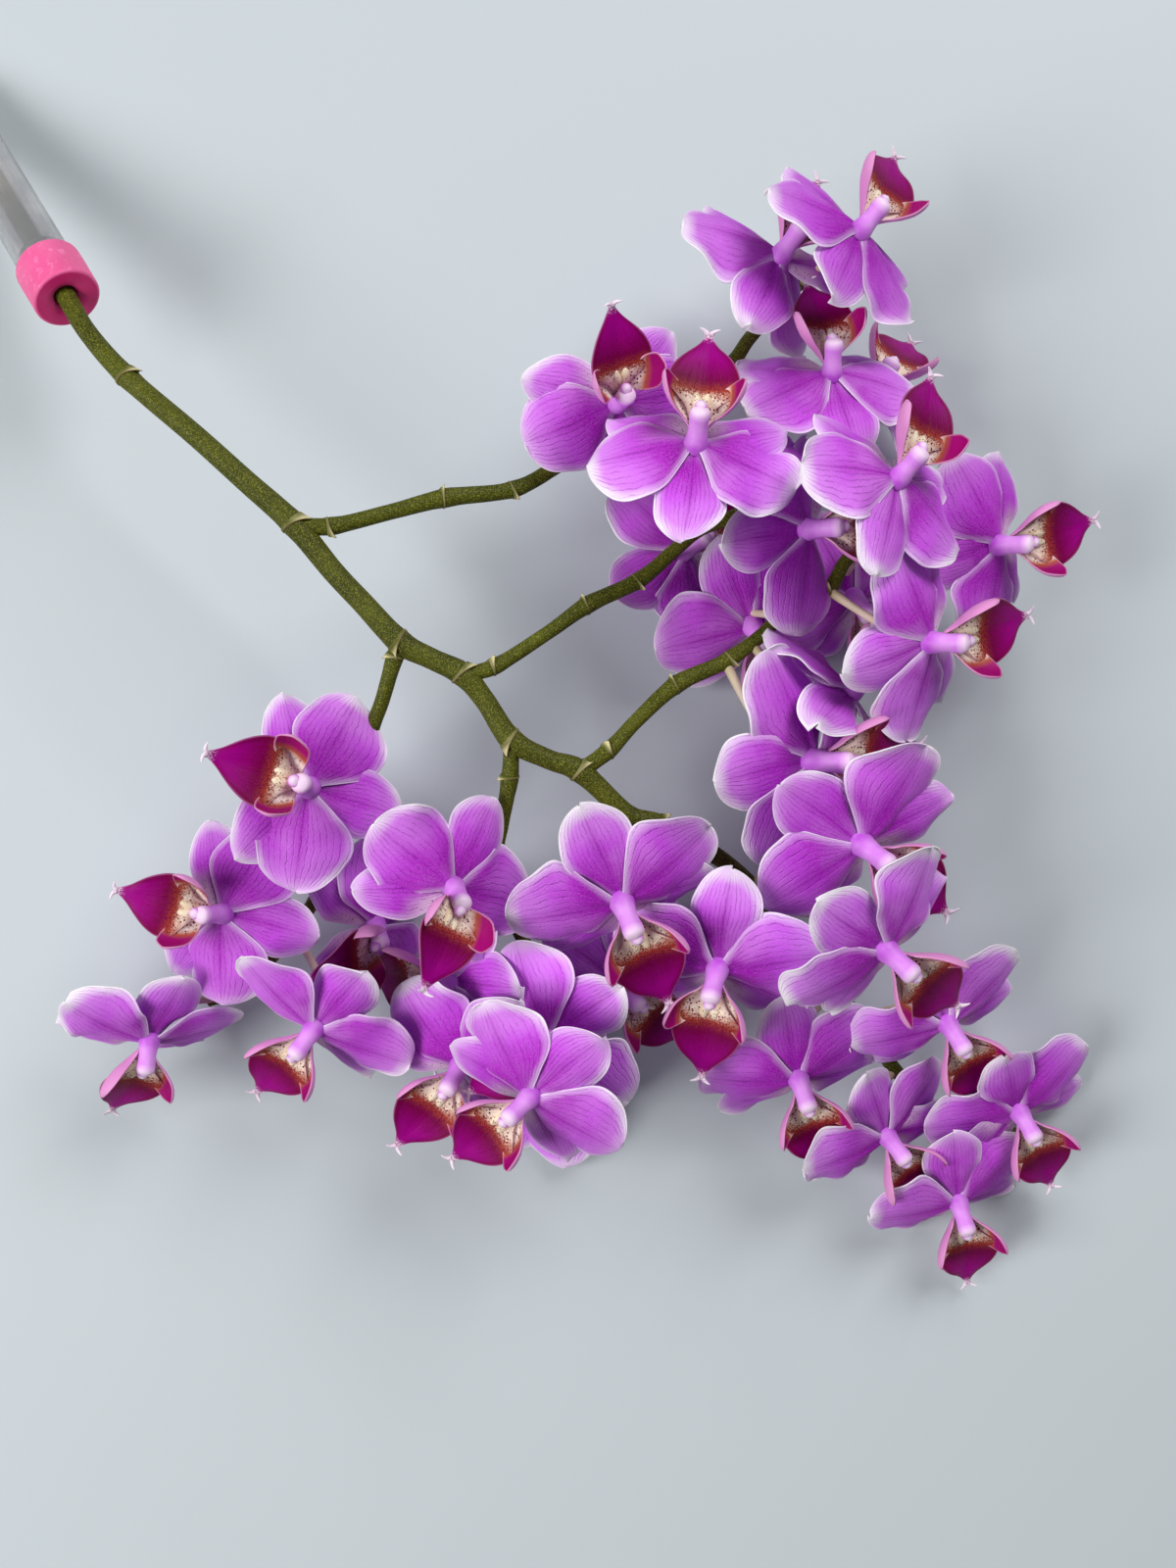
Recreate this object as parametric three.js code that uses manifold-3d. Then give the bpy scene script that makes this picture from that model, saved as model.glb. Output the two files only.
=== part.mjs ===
// A cut, branched spray of a small-flowered moth orchid, its end in a capped water tube, lying on a surface.
// Millimetres, Z up. Every bloom is one solid; the stem with its branches is one; the holder has three.
import * as THREE from "three";
import { mergeVertices } from "three/addons/utils/BufferGeometryUtils.js";
import Module from "manifold-3d";

const wasm = await Module();
wasm.setup();
const { Manifold, Mesh } = wasm;
const RAD = Math.PI / 180;

// ---- Layout frame -------------------------------------------------------------------------------------
// Places on the layout sheet are given as (u, v): u to the right and v down, on a sheet seen from EYE_HEIGHT
// above the floor, SHEET_SCALE units to one millimetre at one millimetre's distance.
const EYE_HEIGHT = 505;
const SHEET_SCALE = 1656;
const SHEET_MIDDLE = [600, 800];
// The finished part is moved by this, so that its box stands centred on the origin.
const SHIFT = [26.13, -31.555, 0];

function at(u, v, z) {
  const reach = (EYE_HEIGHT - z) / SHEET_SCALE;
  return [(u - SHEET_MIDDLE[0]) * reach, (SHEET_MIDDLE[1] - v) * reach, z];
}

// ---- Clearances and section sizes ---------------------------------------------------------------------
const GAP = 0.3;            // between neighbouring solids
const PETAL_THICK = 0.8;

// ---- Small vector helpers -----------------------------------------------------------------------------
const add = (a, b) => a.map((x, i) => x + b[i]);
const sub = (a, b) => a.map((x, i) => x - b[i]);
const scale = (a, k) => a.map((x) => x * k);
const dot = (a, b) => a.reduce((sum, x, i) => sum + x * b[i], 0);
const cross = (a, b) => [a[1] * b[2] - a[2] * b[1], a[2] * b[0] - a[0] * b[2], a[0] * b[1] - a[1] * b[0]];
const unit = (a) => scale(a, 1 / Math.hypot(...a));
const mix = (a, b, k) => a.map((x, i) => x + (b[i] - x) * k);

function solid(points, triangles) {
  const made = new Manifold(
    new Mesh({
      numProp: 3,
      vertProperties: new Float32Array(points.flat()),
      triVerts: new Uint32Array(triangles.flat()),
    }),
  );
  if (made.volume() <= 0) throw new Error("a solid is inside out");
  return made;
}

// A sheet is {points, normals, triangles}, its triangles counter-clockwise about their normals.
// strip() makes one from rows of two points (left, right); its last row may close in a point.
function strip(rows, normals, first = 0) {
  const last = rows.length - 1;
  const pointed = Math.hypot(...sub(rows[last][0], rows[last][1])) < 1e-6;
  const made = { points: [], normals: [], triangles: [] };
  rows.forEach((row, i) => {
    for (const point of pointed && i === last ? [row[0]] : row) {
      made.points.push(point);
      made.normals.push(normals[i]);
    }
  });
  for (let i = 0; i < last; i++) {
    const a = first + 2 * i;
    if (pointed && i === last - 1) made.triangles.push([a, a + 1, a + 2]);
    else made.triangles.push([a, a + 1, a + 3], [a, a + 3, a + 2]);
  }
  return made;
}

// Thickens a sheet to a closed solid; grow makes it thicker and wider all round.
function thicken({ points, normals, triangles }, thick, grow = 0) {
  const edges = new Map();
  for (const [a, b, c] of triangles) {
    for (const [from, to] of [[a, b], [b, c], [c, a]]) edges.set(`${from},${to}`, [from, to]);
  }
  const rim = [...edges.values()].filter(([from, to]) => !edges.has(`${to},${from}`));
  const wider = points.map(() => [0, 0, 0]);
  for (const [from, to] of rim) {
    const out = unit(cross(sub(points[to], points[from]), normals[from]));
    for (const end of [from, to]) wider[end] = add(wider[end], out);
  }
  const half = thick / 2 + grow;
  const placed = points.flatMap((point, i) => {
    const long = Math.hypot(...wider[i]);
    const moved = grow && long > 1e-6 ? add(point, scale(wider[i], grow / Math.max(long, 1))) : point;
    return [add(moved, scale(normals[i], half)), sub(moved, scale(normals[i], half))];
  });
  const faces = triangles.flatMap(([a, b, c]) => [[2 * a, 2 * b, 2 * c], [2 * a + 1, 2 * c + 1, 2 * b + 1]]);
  for (const [from, to] of rim) {
    faces.push([2 * from, 2 * from + 1, 2 * to + 1], [2 * from, 2 * to + 1, 2 * to]);
  }
  return solid(placed, faces);
}

// A tube along the points, with a radius at each, closed at both ends; start is where its first corner lies.
function tube(path, radii, sides, start = null) {
  const points = [];
  const triangles = [];
  let side = start;
  path.forEach((point, i) => {
    const along = unit(sub(path[Math.min(i + 1, path.length - 1)], path[Math.max(i - 1, 0)]));
    if (!side) side = Math.abs(along[2]) > 0.9 ? [1, 0, 0] : [0, 0, 1];
    side = unit(sub(side, scale(along, dot(side, along))));
    const other = cross(along, side);
    for (let k = 0; k < sides; k++) {
      const turn = (2 * Math.PI * k) / sides;
      const arm = add(scale(side, Math.cos(turn)), scale(other, Math.sin(turn)));
      points.push(add(point, scale(arm, radii[i])));
    }
  });
  const rings = path.length;
  for (let i = 0; i + 1 < rings; i++) {
    for (let k = 0; k < sides; k++) {
      const a = i * sides + k;
      const b = i * sides + ((k + 1) % sides);
      triangles.push([a, b, b + sides], [a, b + sides, a + sides]);
    }
  }
  for (let k = 1; k + 1 < sides; k++) {
    triangles.push([0, k + 1, k]);
    triangles.push([(rings - 1) * sides, (rings - 1) * sides + k, (rings - 1) * sides + k + 1]);
  }
  return solid(points, triangles);
}

// Points every step along a smooth curve through the given points, whose fourth number is a radius.
function smooth(stations, step) {
  const made = [];
  for (let i = 0; i + 1 < stations.length; i++) {
    const before = stations[Math.max(i - 1, 0)];
    const from = stations[i];
    const to = stations[i + 1];
    const after = stations[Math.min(i + 2, stations.length - 1)];
    const length = Math.hypot(...sub(to.slice(0, 3), from.slice(0, 3)));
    const count = Math.max(1, Math.round(length / step));
    for (let k = 0; k < count; k++) {
      const t = k / count;
      made.push(from.map((p, n) => 0.5 * (2 * p + (to[n] - before[n]) * t
        + (2 * before[n] - 5 * p + 4 * to[n] - after[n]) * t * t
        + (3 * p - before[n] - 3 * to[n] + after[n]) * t * t * t)));
    }
  }
  made.push(stations[stations.length - 1]);
  return made;
}

// ---- One bloom ----------------------------------------------------------------------------------------
// Its own frame: X to its right, Y to the dorsal sepal, Z out of its face; sizes in millimetres.
const START = 1.6;          // where every sepal and petal starts from the middle
const FORMS = {
  dorsal: { length: 28, half: 9.2, peak: 0.6, near: 0.85, far: 0.5, root: 1.2, curl: 6, lift: -0.8 },
  petal: { length: 28.5, half: 13.2, peak: 0.53, near: 1.0, far: 0.45, root: 1.1, curl: 8, lift: 0.5 },
  lateral: { length: 27, half: 8.6, peak: 0.52, near: 0.85, far: 0.5, root: 1.2, curl: 8, lift: -1.2 },
};
const PETAL_ROWS = [0, 0.26, 0.7, 1];
const SEPAL_ROWS = [0, 0.36, 0.74, 1];
const PETAL_ANGLE = 78;     // from the dorsal sepal to a petal
const LATERAL_ANGLE = 119;  // from the dorsal sepal to a lateral sepal
const FOLD = 10;            // how far every sepal and petal leans back from the face at its root

function halfWidth(form, s) {
  const power = Math.log(0.5) / Math.log(form.peak);
  const blend = form.near + (form.far - form.near) * Math.min(1, Math.max(0, (s - 0.2) / 0.6));
  return form.root * (1 - s) ** 2 + form.half * Math.max(0, Math.sin(Math.PI * s ** power)) ** blend;
}

// The sheet of a sepal or petal at an angle from +Y toward +X, leaning back by fold degrees at its root.
function tepalSheet(form, rows, angle, fold) {
  const sine = Math.sin(angle * RAD);
  const cosine = Math.cos(angle * RAD);
  const parts = 12;
  const path = [[START, form.lift]];
  for (let k = 0; k < parts; k++) {
    const lean = (fold + form.curl * ((k + 0.5) / parts)) * RAD;
    const [r, z] = path[k];
    path.push([r + (Math.cos(lean) * form.length) / parts, z - (Math.sin(lean) * form.length) / parts]);
  }
  const points = [];
  const normals = [];
  for (const s of rows) {
    const place = Math.min(parts - 1, Math.floor(s * parts));
    const [r, z] = mix(path[place], path[place + 1], s * parts - place);
    const half = s === 1 ? 0 : halfWidth(form, s);
    const lean = (fold + form.curl * s) * RAD;
    points.push([-1, 1].map((t) => [r * sine + half * t * cosine, r * cosine - half * t * sine, z]));
    normals.push([Math.sin(lean) * sine, Math.sin(lean) * cosine, Math.cos(lean)]);
  }
  return strip(points, normals);
}

// The lip's middle lobe: [forward, down, half width] of each row past its claw, to the point.
const CLAW_ROOT = [0.2, 1.2, 1.2];
const CLAW_FORK = [6.0, 8.2, 2.2];
const LIP_ROWS = [[9.0, 14.5, 9.0], [9.6, 21.5, 8.0], [9.8, 31.5, 0]];
const LIP_THICK = 1.2;
// A side lobe rises from the claw's fork: [out, up, forward] of its two shoulders and its two ends.
const SIDE_EDGE = [3.4, -3.6, 5.2];
const SIDE_SHOULDERS = [[8.0, -12.5, 10.5], [7.4, -3.2, 10.8]];
const SIDE_ENDS = [[10.6, -11.2, 14.8], [10.2, -6.8, 15.4]];
// The column with the bloom's middle at its foot: [forward, down, radius] of each ring, tip first.
const COLUMN_RINGS = [[10.4, 3.6, 2.3], [1.9, 0.3, 3.1]];
const BODY_SIDES = 4;
// The stalk behind the middle, thick at the ovary: [behind, radius] of its first two rings.
const STALK_RINGS = [[-2.4, 2.1], [-7, 1.4]];
const STALK_RADIUS = 1.15;

// Lip in one sheet: the claw forks to the middle lobe and to a side lobe on either side.
function lipSheet() {
  const row = ([z, down, half]) => [-1, 1].map((t) => [half * -t, -down, z]);
  const lines = [CLAW_ROOT, CLAW_FORK, ...LIP_ROWS];
  const slopes = lines.map((line, i) => {
    const from = lines[Math.max(0, i - 1)];
    const to = lines[Math.min(lines.length - 1, i + 1)];
    return unit([0, to[0] - from[0], to[1] - from[1]]);
  });
  const made = strip(lines.map(row), slopes);
  for (const sign of [1, -1]) {
    const mirror = ([x, y, z]) => [x * sign, y, z];
    const root = sign > 0 ? 0 : 1;
    const fork = sign > 0 ? 2 : 3;
    const first = made.points.length;
    const across = cross(sub(SIDE_ENDS[0], SIDE_SHOULDERS[1]), sub(SIDE_ENDS[1], SIDE_SHOULDERS[0]));
    const face = unit(mirror(across));
    const inward = face[0] * sign < 0 ? face : scale(face, -1);
    for (const point of [SIDE_EDGE, ...SIDE_SHOULDERS, ...SIDE_ENDS]) made.points.push(mirror(point));
    made.normals.push(unit(add(inward, slopes[1])), inward, inward, inward, inward);
    const [edge, low, high, endLow, endHigh] = [0, 1, 2, 3, 4].map((k) => first + k);
    const put = (a, b, c) => made.triangles.push(sign > 0 ? [a, b, c] : [a, c, b]);
    put(fork, edge, root);
    put(fork, low, high);
    put(fork, high, edge);
    put(low, endLow, endHigh);
    put(low, endHigh, high);
  }
  return made;
}

// The frame of a bloom: columns are its X, Y and Z in the part's frame.
function bloomFrame(toward, lean, top) {
  const z = [Math.sin(lean * RAD) * Math.cos(toward * RAD), Math.sin(lean * RAD) * Math.sin(toward * RAD),
    Math.cos(lean * RAD)];
  const flat = [Math.cos(top * RAD), Math.sin(top * RAD), 0];
  flat[2] = -dot(z, flat) / Math.max(z[2], 1e-3);
  const y = unit(flat);
  return [cross(y, z), y, z];
}

const FOLDS = ["dorsal", "right", "left", "lateralRight", "lateralLeft"];

// Every sheet of a bloom in the part's frame, before they are joined.
function bloomSheets(row) {
  const middle = at(row.u, row.v, row.z);
  const axes = bloomFrame(row.toward, row.lean, row.top);
  const turn = (p) => [0, 1, 2].map((n) => axes[0][n] * p[0] + axes[1][n] * p[1] + axes[2][n] * p[2]);
  const move = (p) => add(middle, scale(turn(p), row.size));
  const folds = Object.fromEntries(FOLDS.map((name, i) => [name, FOLD + (row.folds?.[i] ?? 0)]));
  const set = ({ points, normals, triangles }) => ({
    points: points.map(move),
    normals: normals.map(turn),
    triangles,
  });
  return {
    axes, move,
    sheets: {
      dorsal: set(tepalSheet(FORMS.dorsal, SEPAL_ROWS, 0, folds.dorsal)),
      lateralRight: set(tepalSheet(FORMS.lateral, SEPAL_ROWS, LATERAL_ANGLE, folds.lateralRight)),
      lateralLeft: set(tepalSheet(FORMS.lateral, SEPAL_ROWS, -LATERAL_ANGLE, folds.lateralLeft)),
      right: set(tepalSheet(FORMS.petal, PETAL_ROWS, PETAL_ANGLE, folds.right)),
      left: set(tepalSheet(FORMS.petal, PETAL_ROWS, -PETAL_ANGLE, folds.left)),
      lip: set(lipSheet()),
    },
  };
}

// Column, middle and stalk are one round body: down the column, out of the back and down to a stem.
function bodyStations(row, made) {
  const column = COLUMN_RINGS.map(([z, down, r]) => [...made.move([0, -down, z]), r * row.size]);
  const stalk = STALK_RINGS.map(([z, r]) => [...made.move([0, 0, z]), r * row.size]);
  return [...column, ...stalk, [...row.root, STALK_RADIUS]];
}

function bloom(row, grow = 0) {
  const made = bloomSheets(row);
  const solids = Object.entries(made.sheets).map(([name, sheet]) =>
    thicken(sheet, name === "lip" ? LIP_THICK : PETAL_THICK, grow));
  const stations = bodyStations(row, made);
  const radii = stations.map((p) => p[3] + grow);
  solids.push(tube(stations.map((p) => p.slice(0, 3)), radii, BODY_SIDES, add(made.axes[0], made.axes[1])));
  return Manifold.union(solids);
}

// ---- Blooms on the spray ------------------------------------------------------------------------------
// u, v, z: the bloom's middle. toward, lean: the compass direction its face leans to and by how much.
// top: the compass direction of its dorsal sepal. folds: extra lean back of the dorsal sepal, the right
// and left petals, and the right and left lateral sepals, which keeps it clear of its neighbours.
const BLOOMS = [
  { id: "01", u: 630, v: 410, z: 54, toward: -40, lean: 30, top: 284, size: 0.95 },
  { id: "02", u: 710, v: 452, z: 71, toward: 84, lean: 31, top: 262, size: 1.0, folds: [0, 0, 0, 0, -5] },
  { id: "03", u: 797, v: 260, z: 46, toward: 45, lean: 48, top: 252, size: 1.0, folds: [0, 0, 25, 0, -20] },
  { id: "04", u: 878, v: 235, z: 56, toward: 38, lean: 50, top: 255, size: 0.98, folds: [0, 0, 0, -5, 0] },
  { id: "05", u: 848, v: 380, z: 50, toward: 80, lean: 38, top: 288, size: 0.93 },
  { id: "06", u: 893, v: 398, z: 22.6, toward: 60, lean: 60, top: 228, size: 1.0,
    folds: [-15, 0, 0, 0, 0] },
  { id: "07", u: 917, v: 487, z: 72, toward: 32, lean: 40, top: 261, size: 0.98, folds: [0, 0, -5, 0, 0] },
  { id: "08", u: 825, v: 540, z: 51, toward: -8, lean: 44, top: 198, size: 1.0, folds: [0, 0, -10, 0, 15] },
  { id: "09", u: 1020, v: 556, z: 44, toward: -18, lean: 37, top: 204, size: 0.96 },
  { id: "10", u: 951, v: 655, z: 60, toward: -18, lean: 45, top: 207, size: 1.0 },
  { id: "11", u: 698, v: 563, z: 20, toward: 26, lean: 38, top: 213, size: 0.95 },
  { id: "12", u: 768, v: 640, z: 22, toward: 300, lean: 36, top: 112, size: 1.0, folds: [0, 15, -5, 0, 0] },
  { id: "13", u: 870, v: 705, z: 46, toward: 45, lean: 72, top: 212, size: 1.0, folds: [0, -5, 40, 5, 0] },
  { id: "14", u: 830, v: 776, z: 56, toward: -12, lean: 45, top: 195, size: 1.12,
    folds: [0, 10, 5, 30, 0] },
  { id: "15", u: 880, v: 862, z: 58, toward: 318, lean: 38, top: 144, size: 1.08,
    folds: [0, -15, 0, -20, 5] },
  { id: "16", u: 905, v: 970, z: 70, toward: 312, lean: 50, top: 148, size: 1.03 },
  { id: "17", u: 967, v: 1045, z: 37, toward: 300, lean: 47, top: 122, size: 0.97 },
  { id: "18", u: 1040, v: 1135, z: 21, toward: 298, lean: 43, top: 117, size: 0.96,
    folds: [-15, 0, 0, 0, -20] },
  { id: "19", u: 978, v: 1228, z: 17, toward: 286, lean: 43, top: 99, size: 0.95,
    folds: [0, 10, -20, 5, 0] },
  { id: "20", u: 905, v: 1160, z: 26, toward: 314, lean: 50, top: 108, size: 0.93,
    folds: [0, 0, -5, -20, 0] },
  { id: "21", u: 815, v: 1102, z: 37, toward: 288, lean: 41, top: 106, size: 0.97 },
  { id: "22", u: 732, v: 990, z: 54, toward: 243, lean: 36, top: 88, size: 1.03, folds: [0, 0, -10, 0, 0] },
  { id: "23", u: 635, v: 922, z: 64, toward: 291, lean: 40, top: 116, size: 1.07 },
  { id: "24", u: 632, v: 1003, z: 30, toward: 310, lean: 48, top: 142, size: 1.0,
    folds: [0, 0, -20, 0, -5] },
  { id: "25", u: 560, v: 1060, z: 52, toward: 215, lean: 38, top: 36, size: 0.96, folds: [0, 0, 0, 5, 0] },
  { id: "26", u: 540, v: 1120, z: 65, toward: 222, lean: 38, top: 40, size: 0.96,
    folds: [0, 0, -5, 0, -10] },
  { id: "27", u: 552, v: 1100, z: 12.21, toward: 180, lean: 20, top: 0, size: 1.0,
    folds: [0, 0, 15, 0, 0] },
  { id: "28", u: 469, v: 1088, z: 42, toward: 250, lean: 30, top: 48, size: 0.97,
    folds: [-10, 5, 0, -5, 0] },
  { id: "29", u: 320, v: 1050, z: 44, toward: 240, lean: 47, top: 42, size: 0.98,
    folds: [0, 0, -10, 0, 0] },
  { id: "30", u: 152, v: 1062, z: 32, toward: 280, lean: 60, top: 40, size: 0.96 },
  { id: "31", u: 226, v: 932, z: 46, toward: 210, lean: 10, top: 343, size: 0.95 },
  { id: "32", u: 314, v: 803, z: 61, toward: 5, lean: 16, top: 342, size: 1.0 },
  { id: "33", u: 463, v: 907, z: 62, toward: 345, lean: 33, top: 63, size: 0.96 },
  { id: "34", u: 382, v: 944, z: 22.3, toward: 322, lean: 50, top: 21, size: 1.0, folds: [0, -5, 0, 0, 0] },
  { id: "35", u: 458, v: 1000, z: 34, toward: 190, lean: 58, top: 355, size: 1.0, folds: [0, 10, 0, 0, 0] },
  { id: "36", u: 872, v: 612, z: 20, toward: 300, lean: 30, top: 120, size: 1.0, folds: [0, 0, -10, 0, 0] },
];

// ---- Stem and branches: [u, v, z, radius] --------------------------------------------------------------
const MAIN = [[90, 340, 51, 2.7], [130, 385, 54, 2.9], [200, 445, 56, 3.0], [250, 490, 56.5, 3.1],
  [300, 535, 56, 3.3], [340, 583, 55, 3.1], [370, 615, 55, 3.1], [408, 655, 54, 3.3], [440, 672, 53.5, 3.0],
  [472, 688, 53, 3.2], [495, 715, 52, 2.9], [522, 755, 51, 3.1], [560, 775, 50, 2.8], [592, 787, 49, 3.1],
  [640, 830, 46, 2.7], [675, 842, 44, 2.7], [740, 880, 38, 2.5], [790, 930, 32, 2.4], [870, 1032, 21, 2.2],
  [918, 1097, 14, 2.1], [957, 1132, 11, 2.0], [1030, 1155, 7, 1.8], [1085, 1170, 5, 1.6]];
const BRANCHES = {
  upper: [
    [300, 535, 56, 2.4], [338, 537, 55, 2.3], [400, 522, 52, 2.2], [455, 508, 49, 2.5],
    [525, 499, 45, 2.2], [575, 472, 41, 2.1], [620, 450, 38, 2.1], [680, 420, 34, 2.0],
    [742, 375, 31, 2.1], [765, 345, 30, 2.0], [800, 305, 28, 1.9], [825, 283, 27, 1.8],
    [850, 262, 26, 1.6],
  ],
  middle: [
    [472, 688, 53, 2.2], [505, 680, 52, 2.1], [560, 645, 49, 2.0], [600, 617, 46, 2.3],
    [652, 592, 43, 2.2], [690, 560, 41, 2.0], [715, 540, 39, 2.0], [752, 525, 37, 2.0],
    [800, 490, 34, 1.9], [850, 440, 30, 1.8], [880, 400, 27, 1.6],
  ],
  right: [
    [592, 787, 49, 2.3], [622, 765, 48, 2.2], [650, 735, 46, 2.1], [691, 698, 44, 2.4],
    [740, 675, 42, 2.2], [775, 650, 41, 2.0], [805, 622, 40, 2.0], [845, 602, 38, 2.1],
    [865, 570, 36, 1.9], [900, 550, 35, 1.6],
  ],
  lower: [
    [408, 655, 54, 2.2], [400, 680, 53, 2.2], [390, 715, 50, 2.1], [378, 750, 47, 2.1],
    [360, 830, 38, 2.0], [330, 900, 32, 1.9], [300, 950, 28, 1.9], [250, 1005, 23, 1.8],
    [213, 1022, 21, 1.6],
  ],
  inner: [
    [522, 755, 51, 2.2], [520, 795, 49, 2.3], [512, 840, 45, 2.1], [508, 875, 42, 2.1],
    [525, 940, 36, 2.0], [545, 982, 32, 1.9], [552, 1030, 29, 1.7],
  ],
};
const STEM_SIDES = 8;
const BRANCH_SIDES = 6;
const STEM_STEP = 17;
const ROOT_REACH = 16;      // how far behind a bloom its stalk looks for the nearest stem

// ---- Water tube, cap and the stem's end in them -------------------------------------------------------
const CAP_FRONT = at(69, 305, 46.5);
const TUBE_CLIMB = 24;      // degrees above the floor
const TUBE_COMPASS = -56;
const CAP_RADIUS = 9.6;
const CAP_LENGTH = 14.5;
const CAP_FACE = 3.5;       // thickness of the cap's face round the hole
const HOLE_RADIUS = 3.4;
const FUNNEL_RADIUS = 5.4;
const FUNNEL_DEPTH = 1.4;
const TUBE_RADIUS = 7.9;
const TUBE_WALL = 1.2;
const TUBE_SIDES = 16;
const DIP = 60;             // how far behind the cap's front the stem ends
const FLAT_CUT = 0.35;      // how deep the flat spot is cut into the tube's round end
const axisDirection = [Math.cos(TUBE_CLIMB * RAD) * Math.cos(TUBE_COMPASS * RAD),
  Math.cos(TUBE_CLIMB * RAD) * Math.sin(TUBE_COMPASS * RAD), Math.sin(TUBE_CLIMB * RAD)];
// The round end's middle stands this high, so that the flat spot lies on the floor.
const END_HEIGHT = TUBE_RADIUS - FLAT_CUT;
const TUBE_REACH = (CAP_FRONT[2] - END_HEIGHT) / axisDirection[2];

// A body of revolution about the tube's axis; profile points are [radius, distance behind the cap's front].
function turned(profile, sides) {
  const outline = profile.map(([r, back]) => [r, -back]);
  const first = Manifold.revolve([outline], sides);
  const made = first.volume() > 0 ? first : Manifold.revolve([outline.reverse()], sides);
  return made.rotate([0, 90 - TUBE_CLIMB, 0]).rotate([0, 0, TUBE_COMPASS]).translate(CAP_FRONT);
}

function roundEnd(radius, steps, reach) {
  return Array.from({ length: steps + 1 }, (_, k) => {
    const turn = (k / steps) * Math.PI * 0.5;
    return [radius * Math.cos(turn), reach + radius * Math.sin(turn)];
  }).map(([r, back]) => [r < 1e-6 ? 0 : r, back]);
}

const capProfile = [[HOLE_RADIUS, FUNNEL_DEPTH], [FUNNEL_RADIUS, 0], [CAP_RADIUS - 0.7, 0], [CAP_RADIUS, 0.7],
  [CAP_RADIUS, CAP_LENGTH - 0.5], [CAP_RADIUS - 0.4, CAP_LENGTH], [TUBE_RADIUS + GAP, CAP_LENGTH],
  [TUBE_RADIUS + GAP, CAP_FACE], [HOLE_RADIUS, CAP_FACE]];
const MOUTH = CAP_FACE + GAP;
const INNER = TUBE_RADIUS - TUBE_WALL;
const tubeProfile = [[INNER, MOUTH], [TUBE_RADIUS, MOUTH], ...roundEnd(TUBE_RADIUS, 4, TUBE_REACH),
  ...roundEnd(INNER, 4, TUBE_REACH).reverse()];
const WATER_RADIUS = INNER - GAP;
const WATER_TOP = CAP_LENGTH + 4;
const STEM_END_RADIUS = 2.8;
const waterProfile = [[STEM_END_RADIUS + GAP, WATER_TOP], [WATER_RADIUS, WATER_TOP],
  ...roundEnd(WATER_RADIUS, 3, TUBE_REACH), [0, DIP + GAP], [STEM_END_RADIUS + GAP, DIP + GAP]];

const behind = (back) => sub(CAP_FRONT, scale(axisDirection, back));

// Every stem as smooth stations in space, with radii.
function stemPaths() {
  const main = MAIN.map(([u, v, z, r]) => [...at(u, v, z), r]);
  const dipped = [DIP, 26, 8, 0].map((back) => [...behind(back), STEM_END_RADIUS]);
  const paths = { main: smooth([...dipped, ...main], STEM_STEP) };
  for (const [name, stations] of Object.entries(BRANCHES)) {
    paths[name] = smooth(stations.map(([u, v, z, r]) => [...at(u, v, z), r]), STEM_STEP);
  }
  return paths;
}

function stemSolid(paths, grow = 0) {
  return Manifold.union(Object.entries(paths).map(([name, path]) =>
    tube(
      path.map((p) => p.slice(0, 3)),
      path.map((p) => p[3] + grow),
      name === "main" ? STEM_SIDES : BRANCH_SIDES,
    )));
}

// The nearest place on any stem, cap end left out, to a point.
function nearestOnStem(paths, point) {
  let best = null;
  for (const [name, path] of Object.entries(paths)) {
    for (let i = name === "main" ? 8 : 0; i + 1 < path.length; i++) {
      for (const k of [0, 0.25, 0.5, 0.75]) {
        const place = mix(path[i], path[i + 1], k).slice(0, 3);
        const far = Math.hypot(...sub(place, point));
        if (!best || far < best.far) best = { far, place };
      }
    }
  }
  return best.place;
}

// ---- Assembly -----------------------------------------------------------------------------------------
const largest = (made) => made.decompose().reduce((a, b) => (a.volume() > b.volume() ? a : b));
const group = new THREE.Group();
group.name = "moth_orchid_spray";

function place(name, made) {
  const mesh = made.translate(SHIFT).getMesh();
  const geometry = new THREE.BufferGeometry();
  const points = new Float32Array(mesh.numVert * 3);
  for (let i = 0; i < mesh.numVert; i++) {
    for (let n = 0; n < 3; n++) points[i * 3 + n] = mesh.vertProperties[i * mesh.numProp + n];
  }
  geometry.setAttribute("position", new THREE.BufferAttribute(points, 3));
  geometry.setIndex(Array.from(mesh.triVerts));
  const item = new THREE.Mesh(mergeVertices(geometry, 1e-4));
  item.name = name;
  group.add(item);
}

const paths = stemPaths();
const stem = stemSolid(paths);
const stemClear = stemSolid(paths, GAP);
for (const row of BLOOMS) {
  const made = bloomSheets(row);
  row.root = nearestOnStem(paths, made.move([0, 0, -ROOT_REACH]));
}

const FLOOR = Manifold.cube([2000, 2000, 100], true).translate([0, 0, -50]);
place("flower_stem", stem);
place("tube_cap", turned(capProfile, TUBE_SIDES));
place("water_tube", turned(tubeProfile, TUBE_SIDES).subtract(FLOOR));
place("water", turned(waterProfile, TUBE_SIDES));
// Where two blooms would still touch, the lower one is cut back by the gap.
const placed = [];
for (const row of [...BLOOMS].sort((a, b) => b.z - a.z)) {
  let made = bloom(row).subtract(stemClear);
  for (const other of placed) {
    if (made.intersect(other.clear).volume() > 0) made = made.subtract(other.clear);
  }
  placed.push({ row, made: largest(made), clear: bloom(row, GAP) });
}
for (const row of BLOOMS) place(`bloom_${row.id}`, placed.find((item) => item.row === row).made);

export default group;
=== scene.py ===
"""Dresses the solids of a moth orchid spray: fine blooms, stem and water tube, finishes, light and camera.

The layout and the sizes repeat the named values of the part's source, in millimetres, so every piece lies
where its solid lies. Blender works in metres.
"""

import logging
import math
from dataclasses import dataclass, field, replace
from enum import Enum
from functools import cached_property

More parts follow.
